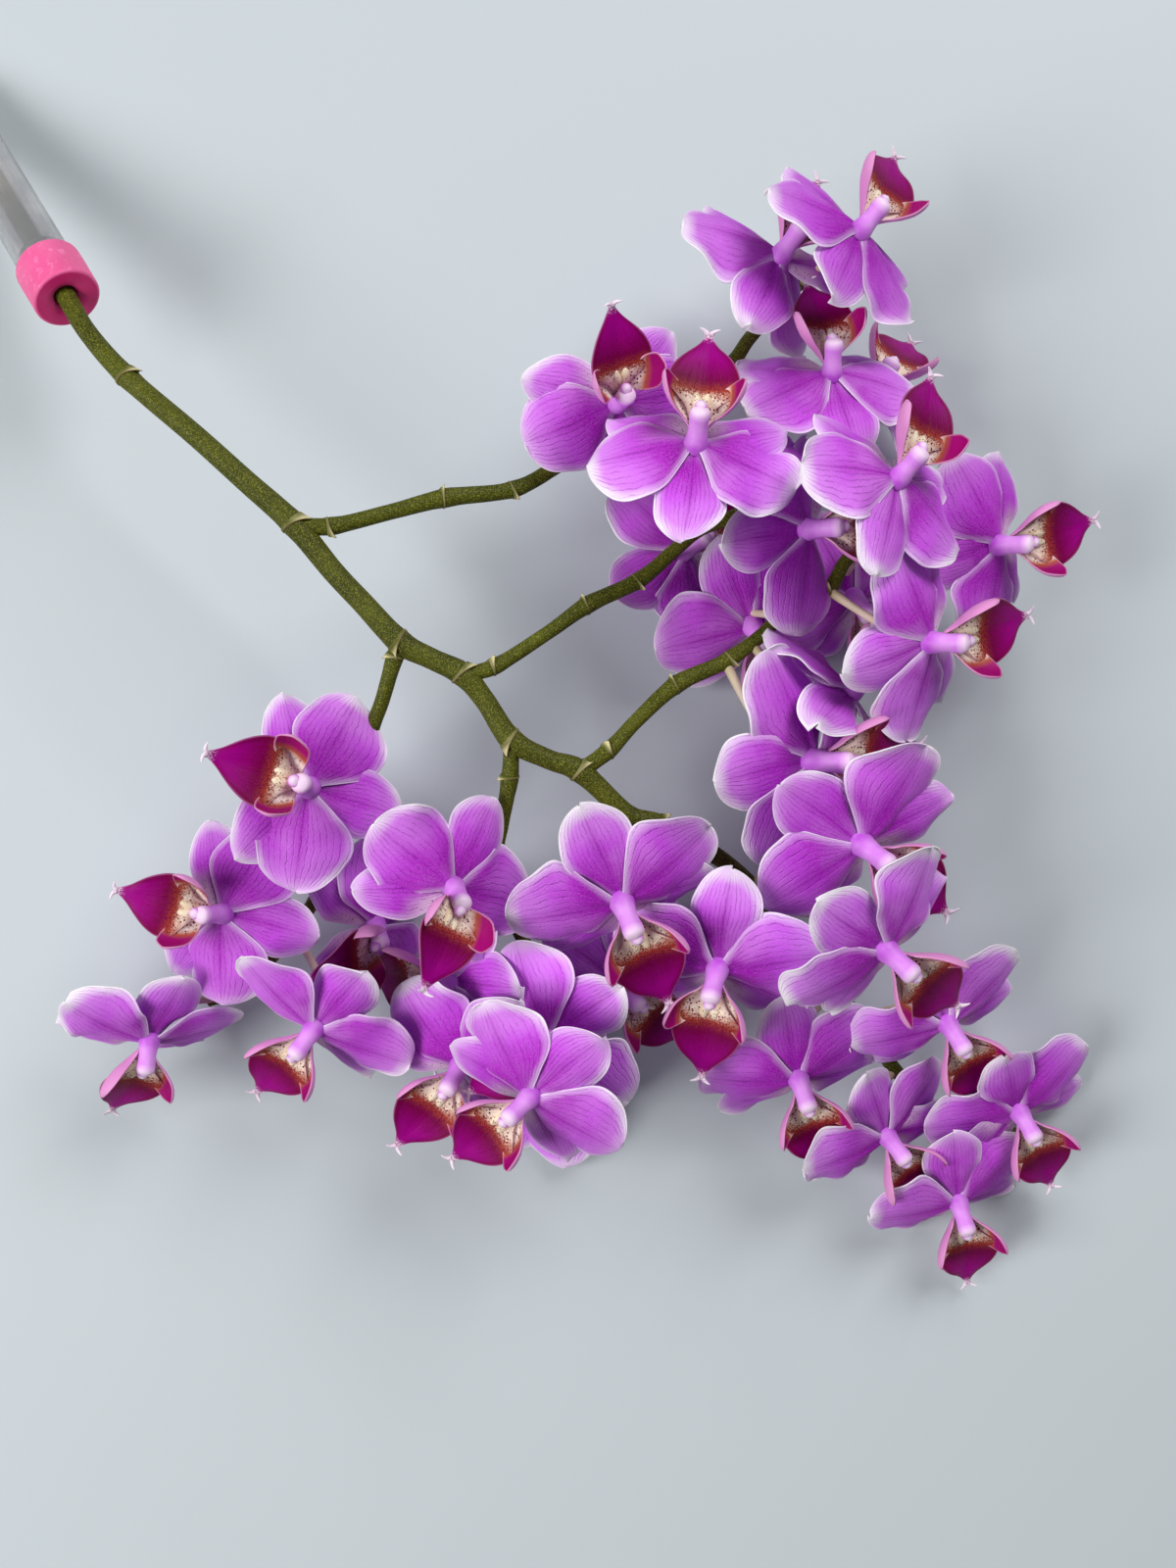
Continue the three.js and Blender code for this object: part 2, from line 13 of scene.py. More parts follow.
import bmesh
import bpy
import numpy as np
from bpy.types import ID, Material, Mesh, Node, NodeInputs, NodeOutputs, NodeTree, Object
from bpy.types import NodeSocket as Socket
from mathutils import Matrix, Vector


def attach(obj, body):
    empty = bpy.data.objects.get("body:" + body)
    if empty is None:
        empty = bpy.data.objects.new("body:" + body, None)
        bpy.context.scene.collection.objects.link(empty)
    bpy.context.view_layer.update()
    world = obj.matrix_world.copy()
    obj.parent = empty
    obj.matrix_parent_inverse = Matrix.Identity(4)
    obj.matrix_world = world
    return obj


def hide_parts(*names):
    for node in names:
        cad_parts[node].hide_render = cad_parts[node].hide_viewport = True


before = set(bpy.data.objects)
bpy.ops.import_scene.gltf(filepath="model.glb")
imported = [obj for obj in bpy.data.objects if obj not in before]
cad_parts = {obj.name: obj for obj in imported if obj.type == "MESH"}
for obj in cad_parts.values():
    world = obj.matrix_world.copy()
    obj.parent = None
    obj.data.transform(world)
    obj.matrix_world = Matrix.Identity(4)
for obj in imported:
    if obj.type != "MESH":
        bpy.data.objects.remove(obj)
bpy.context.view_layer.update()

LOG = logging.getLogger("orchid")
METRE = 0.001
Array = np.ndarray
Colour = tuple[float, float, float, float]
Rows = tuple[tuple[float, ...], ...]
Profile = list[tuple[float, float]]


# ---- Small helpers ----

def tone(red: float, green: float, blue: float) -> Colour:
    """Turns a display colour into the linear one that shaders take.

    Args:
        red: Red, 0 to 255.
        green: Green, 0 to 255.
        blue: Blue, 0 to 255.

    Returns:
        The linear colour with full alpha.
    """
    def linear(value: float) -> float:
        """Undoes the display curve for one channel."""
        share = value / 255.0
        return share / 12.92 if share <= 0.04045 else ((share + 0.055) / 1.055) ** 2.4

    return linear(red), linear(green), linear(blue), 1.0


def unit(vector: Array) -> Array:
    """Returns the vectors scaled to length one, along their last axis."""
    return vector / np.maximum(np.linalg.norm(vector, axis=-1, keepdims=True), 1e-12)


def ease(value: Array, low: float, high: float) -> Array:
    """Returns 0 below low, 1 above high and a smooth step between them."""
    share = np.clip((value - low) / (high - low), 0.0, 1.0)
    return share * share * (3.0 - 2.0 * share)


def curve(before: Array, start: Array, end: Array, after: Array, t: Array | float) -> Array:
    """Returns the point at share t from start to end of a smooth curve through four points."""
    return 0.5 * (2 * start + (end - before) * t + (2 * before - 5 * start + 4 * end - after) * t ** 2
                  + (3 * start - before - 3 * end + after) * t ** 3)


def arc(start: Array, corner: Array, end: Array, t: float) -> Array:
    """Returns the point at share t of a soft arc from start to end, pulled toward a corner."""
    return (1 - t) ** 2 * start + 2 * t * (1 - t) * corner + t ** 2 * end


def smooth(stations: Array, step: float) -> Array:
    """Runs a smooth curve through stations.

    Args:
        stations: One row per station; the first three numbers are its place.
        step: Wanted distance between the points, in millimetres.

    Returns:
        The points along the curve, with every further number run smoothly too.
    """
    rows = np.asarray(stations, float)
    made = []
    for index in range(len(rows) - 1):
        before, after = rows[max(index - 1, 0)], rows[min(index + 2, len(rows) - 1)]
        start, end = rows[index], rows[index + 1]
        count = max(1, round(float(np.linalg.norm(end[:3] - start[:3])) / step))
        made += [curve(before, start, end, after, part / count) for part in range(count)]
    made.append(rows[-1])
    return np.array(made)


def through(rows: Array, count: int) -> Array:
    """Samples a smooth curve through rows of numbers at even shares of its run.

    Args:
        rows: The rows to pass through.
        count: How many samples to take.

    Returns:
        The samples, first and last row included.
    """
    rows = np.asarray(rows, float)
    place = np.linspace(0.0, len(rows) - 1.0, count)
    index = np.minimum(place.astype(int), len(rows) - 2)
    t = (place - index)[:, None]
    before, after = rows[np.maximum(index - 1, 0)], rows[np.minimum(index + 2, len(rows) - 1)]
    return curve(before, rows[index], rows[index + 1], after, t)


def add_object(name: str, data: ID) -> Object:
    """Adds an object to the scene.

    Args:
        name: Its name.
        data: Its mesh, light or camera.

    Returns:
        The object.
    """
    made = bpy.data.objects.new(name, data)
    bpy.context.scene.collection.objects.link(made)
    return made


def read(items: object, key: str, count: int = 1, kind: type = float) -> Array:
    """Reads a property of all of a mesh's items.

    Args:
        items: The items.
        key: The property's name.
        count: How many numbers each item has.
        kind: The numbers' type.

    Returns:
        The numbers in one row.
    """
    values = np.zeros(len(items) * count, kind)
    items.foreach_get(key, values)
    return values


def carry(mesh: Mesh, name: str, values: Array) -> None:
    """Gives every point of a mesh a value under a name.

    Args:
        mesh: The mesh.
        name: The name that finishes and trees read.
        values: A number for each point, or a row of three.
    """
    kind, key = ("FLOAT_VECTOR", "vector") if values.ndim > 1 else ("FLOAT", "value")
    layer = mesh.attributes.new(name, kind, "POINT")
    layer.data.foreach_set(key, values.reshape(-1).astype(np.float32))


# ---- Layout ----

@dataclass(frozen=True)
class Layout:
    """The sheet on which places are given, seen from above, and the way from it to the part's frame."""

    eye_height: float = 505.0
    sheet_scale: float = 1656.0
    middle: tuple[float, float] = (600.0, 800.0)
    shift: tuple[float, float, float] = (26.13, -31.555, 0.0)

    def place(self, u: float, v: float, z: float) -> Array:
        """Finds the point that a place on the sheet stands for.

        Args:
            u: How far across the sheet.
            v: How far down the sheet.
            z: The height, in millimetres.

        Returns:
            The point, in millimetres, in the part's frame.
        """
        reach = (self.eye_height - z) / self.sheet_scale
        flat = np.array([(u - self.middle[0]) * reach, (self.middle[1] - v) * reach, z])
        return flat + np.array(self.shift)


LAYOUT = Layout()


class Slot(Enum):
    """The record's material slots."""

    STEM = "stem"
    PETALS = "petals"
    CAP = "cap"
    TUBE = "tube"
    WATER = "water"


class Part(Enum):
    """The finishes of one bloom, in the order of its material slots."""

    PETAL = 0
    LIP = 1
    SIDE_LOBE = 2
    CALLUS = 3
    COLUMN = 4
    STALK = 5
    SEPAL = 6


# ---- Meshes ----

@dataclass
class Sheet:
    """A thin blade on a grid of rows and columns, thickened to both sides.

    Its leaf numbers are what the finishes read: across the blade from -1 to 1, along it from 0 to 1, and
    the distance from the rim in millimetres.
    """

    middle: Array
    thick: Array
    leaf: Array

    def normals(self) -> Array:
        """Works out which way each point faces.

        Returns:
            Unit normals, on the face side.
        """
        along = np.gradient(self.middle, axis=0)
        across = np.gradient(self.middle, axis=1)
        return unit(np.cross(across, along))

    def faces(self) -> Array:
        """Joins the points of face, back and rim.

        Returns:
            The quads, as vertex numbers.
        """
        rows, columns = self.middle.shape[:2]
        number = np.arange(rows * columns).reshape(rows, columns)
        a, b = number[:-1, :-1], number[:-1, 1:]
        c, d = number[1:, 1:], number[1:, :-1]
        face = np.stack([a, b, c, d], -1).reshape(-1, 4)
        back = face[:, ::-1] + rows * columns
        loop = np.concatenate([number[0, :-1], number[:-1, -1], number[-1, :0:-1], number[:0:-1, 0]])
        after = np.roll(loop, -1)
        rim = np.stack([loop, loop + rows * columns, after + rows * columns, after], -1)
        return np.concatenate([face, back, rim])


class Shell:
    """Collects the points and faces of one piece, with what its finishes read."""

    def __init__(self) -> None:
        """Starts an empty piece."""
        self.points: list[Array] = []
        self.loops: list[Array] = []
        self.totals: list[Array] = []
        self.parts: list[Array] = []
        self.leaf: list[Array] = []
        self.face: list[Array] = []
        self.count = 0

    def add(self, points: Array, loops: Array, totals: Array, part: int, leaf: Array,
            face: Array) -> None:
        """Adds one closed body.

        Args:
            points: Its points in millimetres.
            loops: The vertex numbers of its faces, one after another.
            totals: How many of them each face has.
            part: The material slot.
            leaf: The leaf numbers of each point.
            face: 1 for points on a face side, 0 for points on a back.
        """
        self.points.append(points)
        self.loops.append(loops + self.count)
        self.totals.append(totals)
        self.parts.append(np.full(len(totals), part))
        self.leaf.append(leaf)
        self.face.append(face)
        self.count += len(points)

    def add_sheet(self, sheet: Sheet, part: int) -> None:
        """Adds a blade as a closed body.

        Args:
            sheet: The blade.
            part: The material slot.
        """
        normals = sheet.normals()
        arm = normals * sheet.thick[..., None] / 2
        points = np.concatenate([sheet.middle + arm, sheet.middle - arm]).reshape(-1, 3)
        leaf = sheet.leaf.reshape(-1, 3)
        faces = sheet.faces()
        side = np.repeat([1.0, 0.0], len(leaf))
        self.add(points, faces.reshape(-1), np.full(len(faces), 4), part, np.tile(leaf, (2, 1)), side)

    def add_mesh(self, mesh: Mesh, part: int, start: float = 0.0) -> None:
        """Adds a mesh in metres that carries leaf numbers, and removes it.

        Args:
            mesh: The mesh.
            part: The material slot.
            start: Where its along numbers start; they end at 1.
        """
        points = read(mesh.vertices, "co", 3).reshape(-1, 3) / METRE
        loops = read(mesh.loops, "vertex_index", kind=int)
        totals = read(mesh.polygons, "loop_total", kind=int)
        leaf = read(mesh.attributes["leaf"].data, "vector", 3).reshape(-1, 3)
        leaf[:, 1] = start + (1.0 - start) * leaf[:, 1]
        self.add(points, loops, totals, part, leaf, np.ones(len(points)))
        bpy.data.meshes.remove(mesh)

    def build(self, name: str, finishes: list[Material],
              tint: float = 0.5) -> Object:
        """Makes the object, in metres, in the part's frame.

        Args:
            name: The piece's name.
            finishes: The materials in the order of the slots.
            tint: A number from 0 to 1 that shifts the finishes of this piece a little.

        Returns:
            The object, linked to the scene.
        """
        points = np.concatenate(self.points) * METRE
        loops = np.concatenate(self.loops).astype(np.int32)
        totals = np.concatenate(self.totals).astype(np.int32)
        mesh = bpy.data.meshes.new(name)
        mesh.vertices.add(len(points))
        mesh.vertices.foreach_set("co", points.reshape(-1))
        mesh.loops.add(len(loops))
        mesh.loops.foreach_set("vertex_index", loops)
        mesh.polygons.add(len(totals))
        starts = np.concatenate([[0], np.cumsum(totals)[:-1]])
        mesh.polygons.foreach_set("loop_start", starts.astype(np.int32))
        mesh.polygons.foreach_set("material_index", np.concatenate(self.parts).astype(np.int32))
        mesh.polygons.foreach_set("use_smooth", np.ones(len(totals), bool))
        mesh.update(calc_edges=True)
        carry(mesh, "leaf", np.concatenate(self.leaf))
        carry(mesh, "face", np.concatenate(self.face))
        carry(mesh, "tint", np.full(len(points), tint))
        for finish in finishes:
            mesh.materials.append(finish)
        return add_object(name, mesh)


# ---- Geometry node trees ----

class Nodes:
    """Adds nodes to a tree and joins them."""

    def __init__(self, tree: NodeTree) -> None:
        """Works on the given tree."""
        self.tree = tree

    def node(self, kind: str, **settings: object) -> Node:
        """Adds a node.

        Args:
            kind: Its type's name.
            **settings: Its properties.

        Returns:
            The node.
        """
        made = self.tree.nodes.new(kind)
        for key, value in settings.items():
            setattr(made, key, value)
        return made

    def link(self, start: Socket, end: Socket) -> None:
        """Joins an output to an input."""
        self.tree.links.new(start, end)

    def take(self, name: str, kind: str) -> object:
        """Gives the tree an input of a kind, such as Float, and returns it."""
        return self.tree.interface.new_socket(name, in_out="INPUT", socket_type=f"NodeSocket{kind}")

    def give(self, name: str, kind: str) -> None:
        """Gives the tree an output of a kind."""
        self.tree.interface.new_socket(name, in_out="OUTPUT", socket_type=f"NodeSocket{kind}")


class MeshTree(Nodes):
    """A geometry node tree with named inputs, run on a scratch object and turned into a plain mesh."""

    def __init__(self, name: str, inputs: dict[str, str]) -> None:
        """Starts the tree.

        Args:
            name: The tree's name.
            inputs: Name and kind of each input after the geometry.
        """
        super().__init__(bpy.data.node_groups.new(name, "GeometryNodeTree"))
        for title, kind in {"Geometry": "Geometry", **inputs}.items():
            self.take(title, kind)
        self.give("Geometry", "Geometry")
        self.source = self.node("NodeGroupInput")
        self.sink = self.node("NodeGroupOutput")

    def carried(self, name: str, kind: str) -> Socket:
        """Reads what the points carry under a name.

        Args:
            name: The name.
            kind: Its data type.

        Returns:
            Its output.
        """
        made = self.node("GeometryNodeInputNamedAttribute", data_type=kind)
        made.inputs["Name"].default_value = name
        return made.outputs["Attribute"]

    def close(self, geometry: Socket) -> None:
        """Ends the tree: instances are made real and the finish is set.

        Args:
            geometry: What the tree has made.
        """
        real = self.node("GeometryNodeRealizeInstances")
        finish = self.node("GeometryNodeSetMaterial")
        self.link(geometry, real.inputs["Geometry"])
        self.link(real.outputs["Geometry"], finish.inputs["Geometry"])
        self.link(self.source.outputs["Finish"], finish.inputs["Material"])
        self.link(finish.outputs["Geometry"], self.sink.inputs["Geometry"])

    def run(self, mesh: Mesh, values: dict[str, object]) -> Mesh:
        """Runs the tree on a mesh.

        Args:
            mesh: What goes in; it is removed afterwards.
            values: The named inputs' values.

        Returns:
            The result as a plain mesh.
        """
        scratch = add_object("scratch", mesh)
        modifier = scratch.modifiers.new("made", "NODES")
        modifier.node_group = self.tree
        for item in self.tree.interface.items_tree:
            if item.in_out == "INPUT" and item.name in values:
                modifier[item.identifier] = values[item.name]
        depsgraph = bpy.context.evaluated_depsgraph_get()
        evaluated = scratch.evaluated_get(depsgraph)
        made = bpy.data.meshes.new_from_object(evaluated, depsgraph=depsgraph)
        scratch.modifiers.remove(modifier)
        bpy.data.objects.remove(scratch)
        bpy.data.meshes.remove(mesh)
        return made


class RoundSweep(MeshTree):
    """Sweeps a round section along paths; every path point carries its radius.

    Round bodies have no rim, so their distance from it is a plain far one, in millimetres.
    """

    no_rim = 9.0

    def __init__(self) -> None:
        """Builds the tree."""
        super().__init__("round_sweep", {"Sides": "Int", "Finish": "Material"})
        curve = self.node("GeometryNodeMeshToCurve")
        section = self.node("GeometryNodeCurvePrimitiveCircle")
        section.inputs["Radius"].default_value = 1.0
        sweep = self.node("GeometryNodeCurveToMesh")
        sweep.inputs["Fill Caps"].default_value = True
        self.link(self.source.outputs["Geometry"], curve.inputs["Mesh"])
        self.link(self.source.outputs["Sides"], section.inputs["Resolution"])
        self.link(curve.outputs["Curve"], sweep.inputs["Curve"])
        self.link(section.outputs["Curve"], sweep.inputs["Profile Curve"])
        self.link(self.carried("radius", "FLOAT"), sweep.inputs["Scale"])
        self.close(sweep.outputs["Mesh"])

    def sweep(self, paths: list[Array], sides: int, finish: Material) -> Mesh:
        """Sweeps paths into round bodies.

        Args:
            paths: Rows of place and radius in millimetres.
            sides: How many sides the section has.
            finish: The material.

        Returns:
            One mesh in metres, with the share of the way along each path as its leaf numbers.
        """
        rows = np.concatenate(paths)
        edges = []
        first = 0
        for path in paths:
            edges += [(first + k, first + k + 1) for k in range(len(path) - 1)]
            first += len(path)
        mesh = bpy.data.meshes.new("paths")
        mesh.from_pydata((rows[:, :3] * METRE).tolist(), edges, [])
        carry(mesh, "radius", rows[:, 3] * METRE)
        share = np.concatenate([np.linspace(0.0, 1.0, len(path)) for path in paths])
        carry(mesh, "leaf", np.stack([np.zeros_like(share), share, np.full_like(share, self.no_rim)], -1))
        return self.run(mesh, {"Sides": sides, "Finish": finish})


class Scatter(MeshTree):
    """Sets one small object on every point, turned and sized by the point's own numbers."""

    def __init__(self) -> None:
        """Builds the tree."""
        super().__init__("set_on_points", {"Piece": "Object", "Finish": "Material"})
        points = self.node("GeometryNodeMeshToPoints")
        piece = self.node("GeometryNodeObjectInfo", transform_space="ORIGINAL")
        rotation = self.node("FunctionNodeEulerToRotation")
        instances = self.node("GeometryNodeInstanceOnPoints")
        self.link(self.source.outputs["Geometry"], points.inputs["Mesh"])
        self.link(self.source.outputs["Piece"], piece.inputs["Object"])
        self.link(points.outputs["Points"], instances.inputs["Points"])
        self.link(piece.outputs["Geometry"], instances.inputs["Instance"])
        self.link(self.carried("turn", "FLOAT_VECTOR"), rotation.inputs["Euler"])
        self.link(rotation.outputs["Rotation"], instances.inputs["Rotation"])
        self.link(self.carried("size", "FLOAT_VECTOR"), instances.inputs["Scale"])
        self.close(instances.outputs["Instances"])

    def scatter(self, piece: Object, places: Array, turns: Array, sizes: Array,
                finish: Material) -> Mesh:
        """Sets the piece on every place.

        Args:
            piece: The object to repeat.
            places: Points in millimetres.
            turns: Euler angles of each copy.
            sizes: Scale of each copy along its own axes.
            finish: The material.

        Returns:
            One mesh in metres.
        """
        mesh = bpy.data.meshes.new("places")
        mesh.from_pydata((places * METRE).tolist(), [], [])
        carry(mesh, "turn", turns)
        carry(mesh, "size", sizes)
        return self.run(mesh, {"Piece": piece, "Finish": finish})


# ---- Shader building ----

class Wiring(Nodes):
    """Adds shader nodes to a tree and joins them; a Mix node's colour sockets go by their numbers."""

    MIX_FIRST = 6
    MIX_SECOND = 7
    MIX_RESULT = 2

    def __init__(self, tree: NodeTree, effects: "Effects | None" = None) -> None:
        """Works on the given tree; effects are the shared groups that it may place."""
        super().__init__(tree)
        self.effects = effects

    def feed(self, socket: Socket, value: object) -> None:
        """Gives an input a value, or joins it to an output.

        Args:
            socket: The input.
            value: The value or the output.
        """
        if isinstance(value, Socket):
            self.link(value, socket)
        else:
            socket.default_value = value

    def math(self, operation: str, first: object, second: object = 0.0, clamp: bool = False) -> Socket:
        """Adds a Math node.

        Args:
            operation: What it works out.
            first: The first value.
            second: The second value.
            clamp: Whether the result is kept from 0 to 1.

        Returns:
            Its output.
        """
        made = self.node("ShaderNodeMath", operation=operation, use_clamp=clamp)
        self.feed(made.inputs[0], first)
        self.feed(made.inputs[1], second)
        return made.outputs[0]

    def times(self, first: object, second: object, clamp: bool = False) -> Socket:
        """Returns the product of two values."""
        return self.math("MULTIPLY", first, second, clamp)

    def plus(self, first: object, second: object, clamp: bool = False) -> Socket:
        """Returns the sum of two values."""
        return self.math("ADD", first, second, clamp)

    def span(self, value: object, low: float, high: float, start: float = 0.0, end: float = 1.0) -> Socket:
        """Runs smoothly from one value to another.

        Args:
            value: What is read.
            low: Where the run starts.
            high: Where the run ends.
            start: The result up to low.
            end: The result from high on.

        Returns:
            Its output.
        """
        made = self.node("ShaderNodeMapRange", interpolation_type="SMOOTHSTEP")
        for name, number in (("Value", value), ("From Min", low), ("From Max", high),
                             ("To Min", start), ("To Max", end)):
            self.feed(made.inputs[name], number)
        return made.outputs["Result"]

    def mix(self, share: object, first: object, second: object) -> Socket:
        """Mixes two colours.

        Args:
            share: How much of the second.
            first: The first colour.
            second: The second colour.

        Returns:
            The mixed colour.
        """
        made = self.node("ShaderNodeMix", data_type="RGBA")
        self.feed(made.inputs["Factor"], share)
        self.feed(made.inputs[self.MIX_FIRST], first)
        self.feed(made.inputs[self.MIX_SECOND], second)
        return made.outputs[self.MIX_RESULT]

    def layers(self, base: object, *coats: tuple[object, object]) -> Socket:
        """Lays colours over a base one after another, each where its own mask is.

        Args:
            base: The lowest colour.
            *coats: Masks and colours, the lowest first.

        Returns:
            The colour on top.
        """
        for mask, colour in coats:
            base = self.mix(mask, base, colour)
        return base

    def ramp(self, value: object, *stops: tuple[float, Colour]) -> Socket:
        """Picks a colour from a ramp.

        Args:
            value: Where on the ramp.
            *stops: Places and colours, in order.

        Returns:
            The colour.
        """
        made = self.node("ShaderNodeValToRGB")
        band = made.color_ramp
        while len(band.elements) < len(stops):
            band.elements.new(0.5)
        for element, (place, colour) in zip(band.elements, stops):
            element.position = place
            element.color = colour
        self.feed(made.inputs["Fac"], value)
        return made.outputs["Color"]

    def noise(self, vector: object, scale: object, detail: float = 2.0, rough: float = 0.5) -> Socket:
        """Adds a Noise Texture.

        Args:
            vector: What it reads.
            scale: How fine it is.
            detail: How many finer layers it has.
            rough: How strong they are.

        Returns:
            Its value.
        """
        made = self.node("ShaderNodeTexNoise")
        for name, value in (("Vector", vector), ("Scale", scale), ("Detail", detail), ("Roughness", rough)):
            self.feed(made.inputs[name], value)
        return made.outputs["Fac"]

    @cached_property
    def place(self) -> Socket:
        """The Object coordinates."""
        return self.node("ShaderNodeTexCoord").outputs["Object"]

    @cached_property
    def leaf(self) -> tuple[Socket, Socket, Socket]:
        """The leaf numbers of the surface.

        Returns:
            Across, along and the distance from the rim.
        """
        made = self.node("ShaderNodeAttribute", attribute_name="leaf")
        split = self.node("ShaderNodeSeparateXYZ")
        self.feed(split.inputs[0], made.outputs["Vector"])
        return tuple(split.outputs)

    def number(self, name: str) -> Socket:
        """Returns the number that the mesh carries under a name."""
        return self.node("ShaderNodeAttribute", attribute_name=name).outputs["Fac"]

    def back(self) -> Socket:
        """Returns 1 on a blade's back and 0 on its face."""
        return self.math("SUBTRACT", 1.0, self.number("face"))

    def joined(self, *parts: object) -> Socket:
        """Makes a vector.

        Args:
            *parts: Its three values.

        Returns:
            The vector.
        """
        made = self.node("ShaderNodeCombineXYZ")
        for socket, value in zip(made.inputs, parts):
            self.feed(socket, value)
        return made.outputs[0]

    def group(self, tree: NodeTree, **values: object) -> NodeOutputs:
        """Places a shader group.

        Args:
            tree: The group.
            **values: Its inputs' values.

        Returns:
            Its outputs.
        """
        made = self.node("ShaderNodeGroup", node_tree=tree)
        for name, value in values.items():
            self.feed(made.inputs[name], value)
        return made.outputs


class Effects:
    """The shader groups that more than one finish uses, each built once."""

    def __init__(self) -> None:
        """Builds every group."""
        self.veins = self._veins()
        self.rim = self._rim()
        self.freckles = self._freckles()
        self.grain = self._grain()

    @staticmethod
    def _start(name: str, numbers: dict[str, float], masks: tuple[str, ...], place: bool = True) -> tuple[
            Wiring, NodeOutputs, NodeInputs]:
        """Starts a group.

        Args:
            name: The group's name.
            numbers: The numbers that it takes, with their first values.
            masks: The names of the numbers that it gives.
            place: Whether it takes a place too.

        Returns:
            Its wiring, what it takes and what it gives.
        """
        w = Wiring(bpy.data.node_groups.new(name, "ShaderNodeTree"))
        if place:
            w.take("Place", "Vector")
        for title, value in numbers.items():
            w.take(title, "Float").default_value = value
        for title in masks:
            w.give(title, "Float")
        return w, w.node("NodeGroupInput").outputs, w.node("NodeGroupOutput").inputs

    def _veins(self) -> NodeTree:
        """Fine lines that fan out along a blade, from its across and along numbers.

        Returns:
            The group.
        """
        numbers = {"Across": 0.0, "Along": 0.0, "Lines": 9.0, "Waver": 0.5, "Seed": 0.0}
        w, source, sink = self._start("Veins", numbers, ("Mask",), place=False)
        along = w.times(source["Along"], 2.2)
        drift = w.noise(w.joined(source["Across"], along, source["Seed"]), 3.0, 3.0, 0.6)
        bend = w.times(w.plus(drift, -0.5), source["Waver"])
        lane = w.times(w.plus(source["Across"], bend), source["Lines"])
        wave = w.math("ABSOLUTE", w.math("SINE", w.times(lane, math.pi / 2)))
        patchy = w.noise(w.joined(source["Across"], along, 3.7), 5.0)
        line = w.span(wave, 0.0, 0.45, 1.0, 0.0)
        w.feed(sink["Mask"], w.times(line, w.span(patchy, 0.32, 0.62, 0.25, 1.0)))
        return w.tree

    def _rim(self) -> NodeTree:
        """A pale line along the rim and a soft pale band inside it, from the distance to the rim.

        Returns:
            The group.
        """
        w, source, sink = self._start("Pale rim", {"Edge": 1.0, "Line": 0.5, "Band": 3.0}, ("Line", "Band"))
        uneven = w.noise(source["Place"], 160.0)
        width = w.times(source["Line"], w.plus(uneven, 0.55))
        w.feed(sink["Line"], w.span(w.math("DIVIDE", source["Edge"], width), 0.45, 1.25, 1.0, 0.0))
        reach = w.times(source["Band"], w.plus(uneven, 0.5))
        w.feed(sink["Band"], w.span(w.math("DIVIDE", source["Edge"], reach), 0.0, 1.0, 1.0, 0.0))
        return w.tree

    def _freckles(self) -> NodeTree:
        """Small round dots of uneven size, left out here and there.

        Returns:
            The group.
        """
        w, source, sink = self._start("Freckles", {"Scale": 900.0, "Size": 0.3}, ("Mask",))
        cells = w.node("ShaderNodeTexVoronoi")
        w.feed(cells.inputs["Vector"], source["Place"])
        w.feed(cells.inputs["Scale"], source["Scale"])
        share = w.math("DIVIDE", cells.outputs["Distance"], source["Size"])
        split = w.node("ShaderNodeSeparateXYZ")
        w.feed(split.inputs[0], cells.outputs["Color"])
        kept = w.span(split.outputs[0], 0.25, 0.4)
        w.feed(sink["Mask"], w.times(w.span(share, 0.75, 1.05, 1.0, 0.0), kept))
        return w.tree

    def _grain(self) -> NodeTree:
        """Cloudy light and dark at two sizes, and a fine height.

        Returns:
            The group.
        """
        masks = ("Cloud", "Speckle", "Height")
        w, source, sink = self._start("Grain", {"Coarse": 60.0, "Fine": 900.0}, masks)
        cloud = w.noise(source["Place"], source["Coarse"], 3.0, 0.55)
        fine = w.noise(source["Place"], source["Fine"], 2.0, 0.6)
        w.feed(sink["Cloud"], w.span(cloud, 0.3, 0.7))
        w.feed(sink["Speckle"], w.span(fine, 0.45, 0.62))
        w.feed(sink["Height"], fine)
        return w.tree


# ---- Finishes ----

@dataclass(frozen=True)
class Coat:
    """What a finish paints: colour, height with the depth of its relief in metres, and roughness."""

    colour: Socket
    height: Socket | None = None
    relief: float = 0.0002
    rough: Socket | None = None


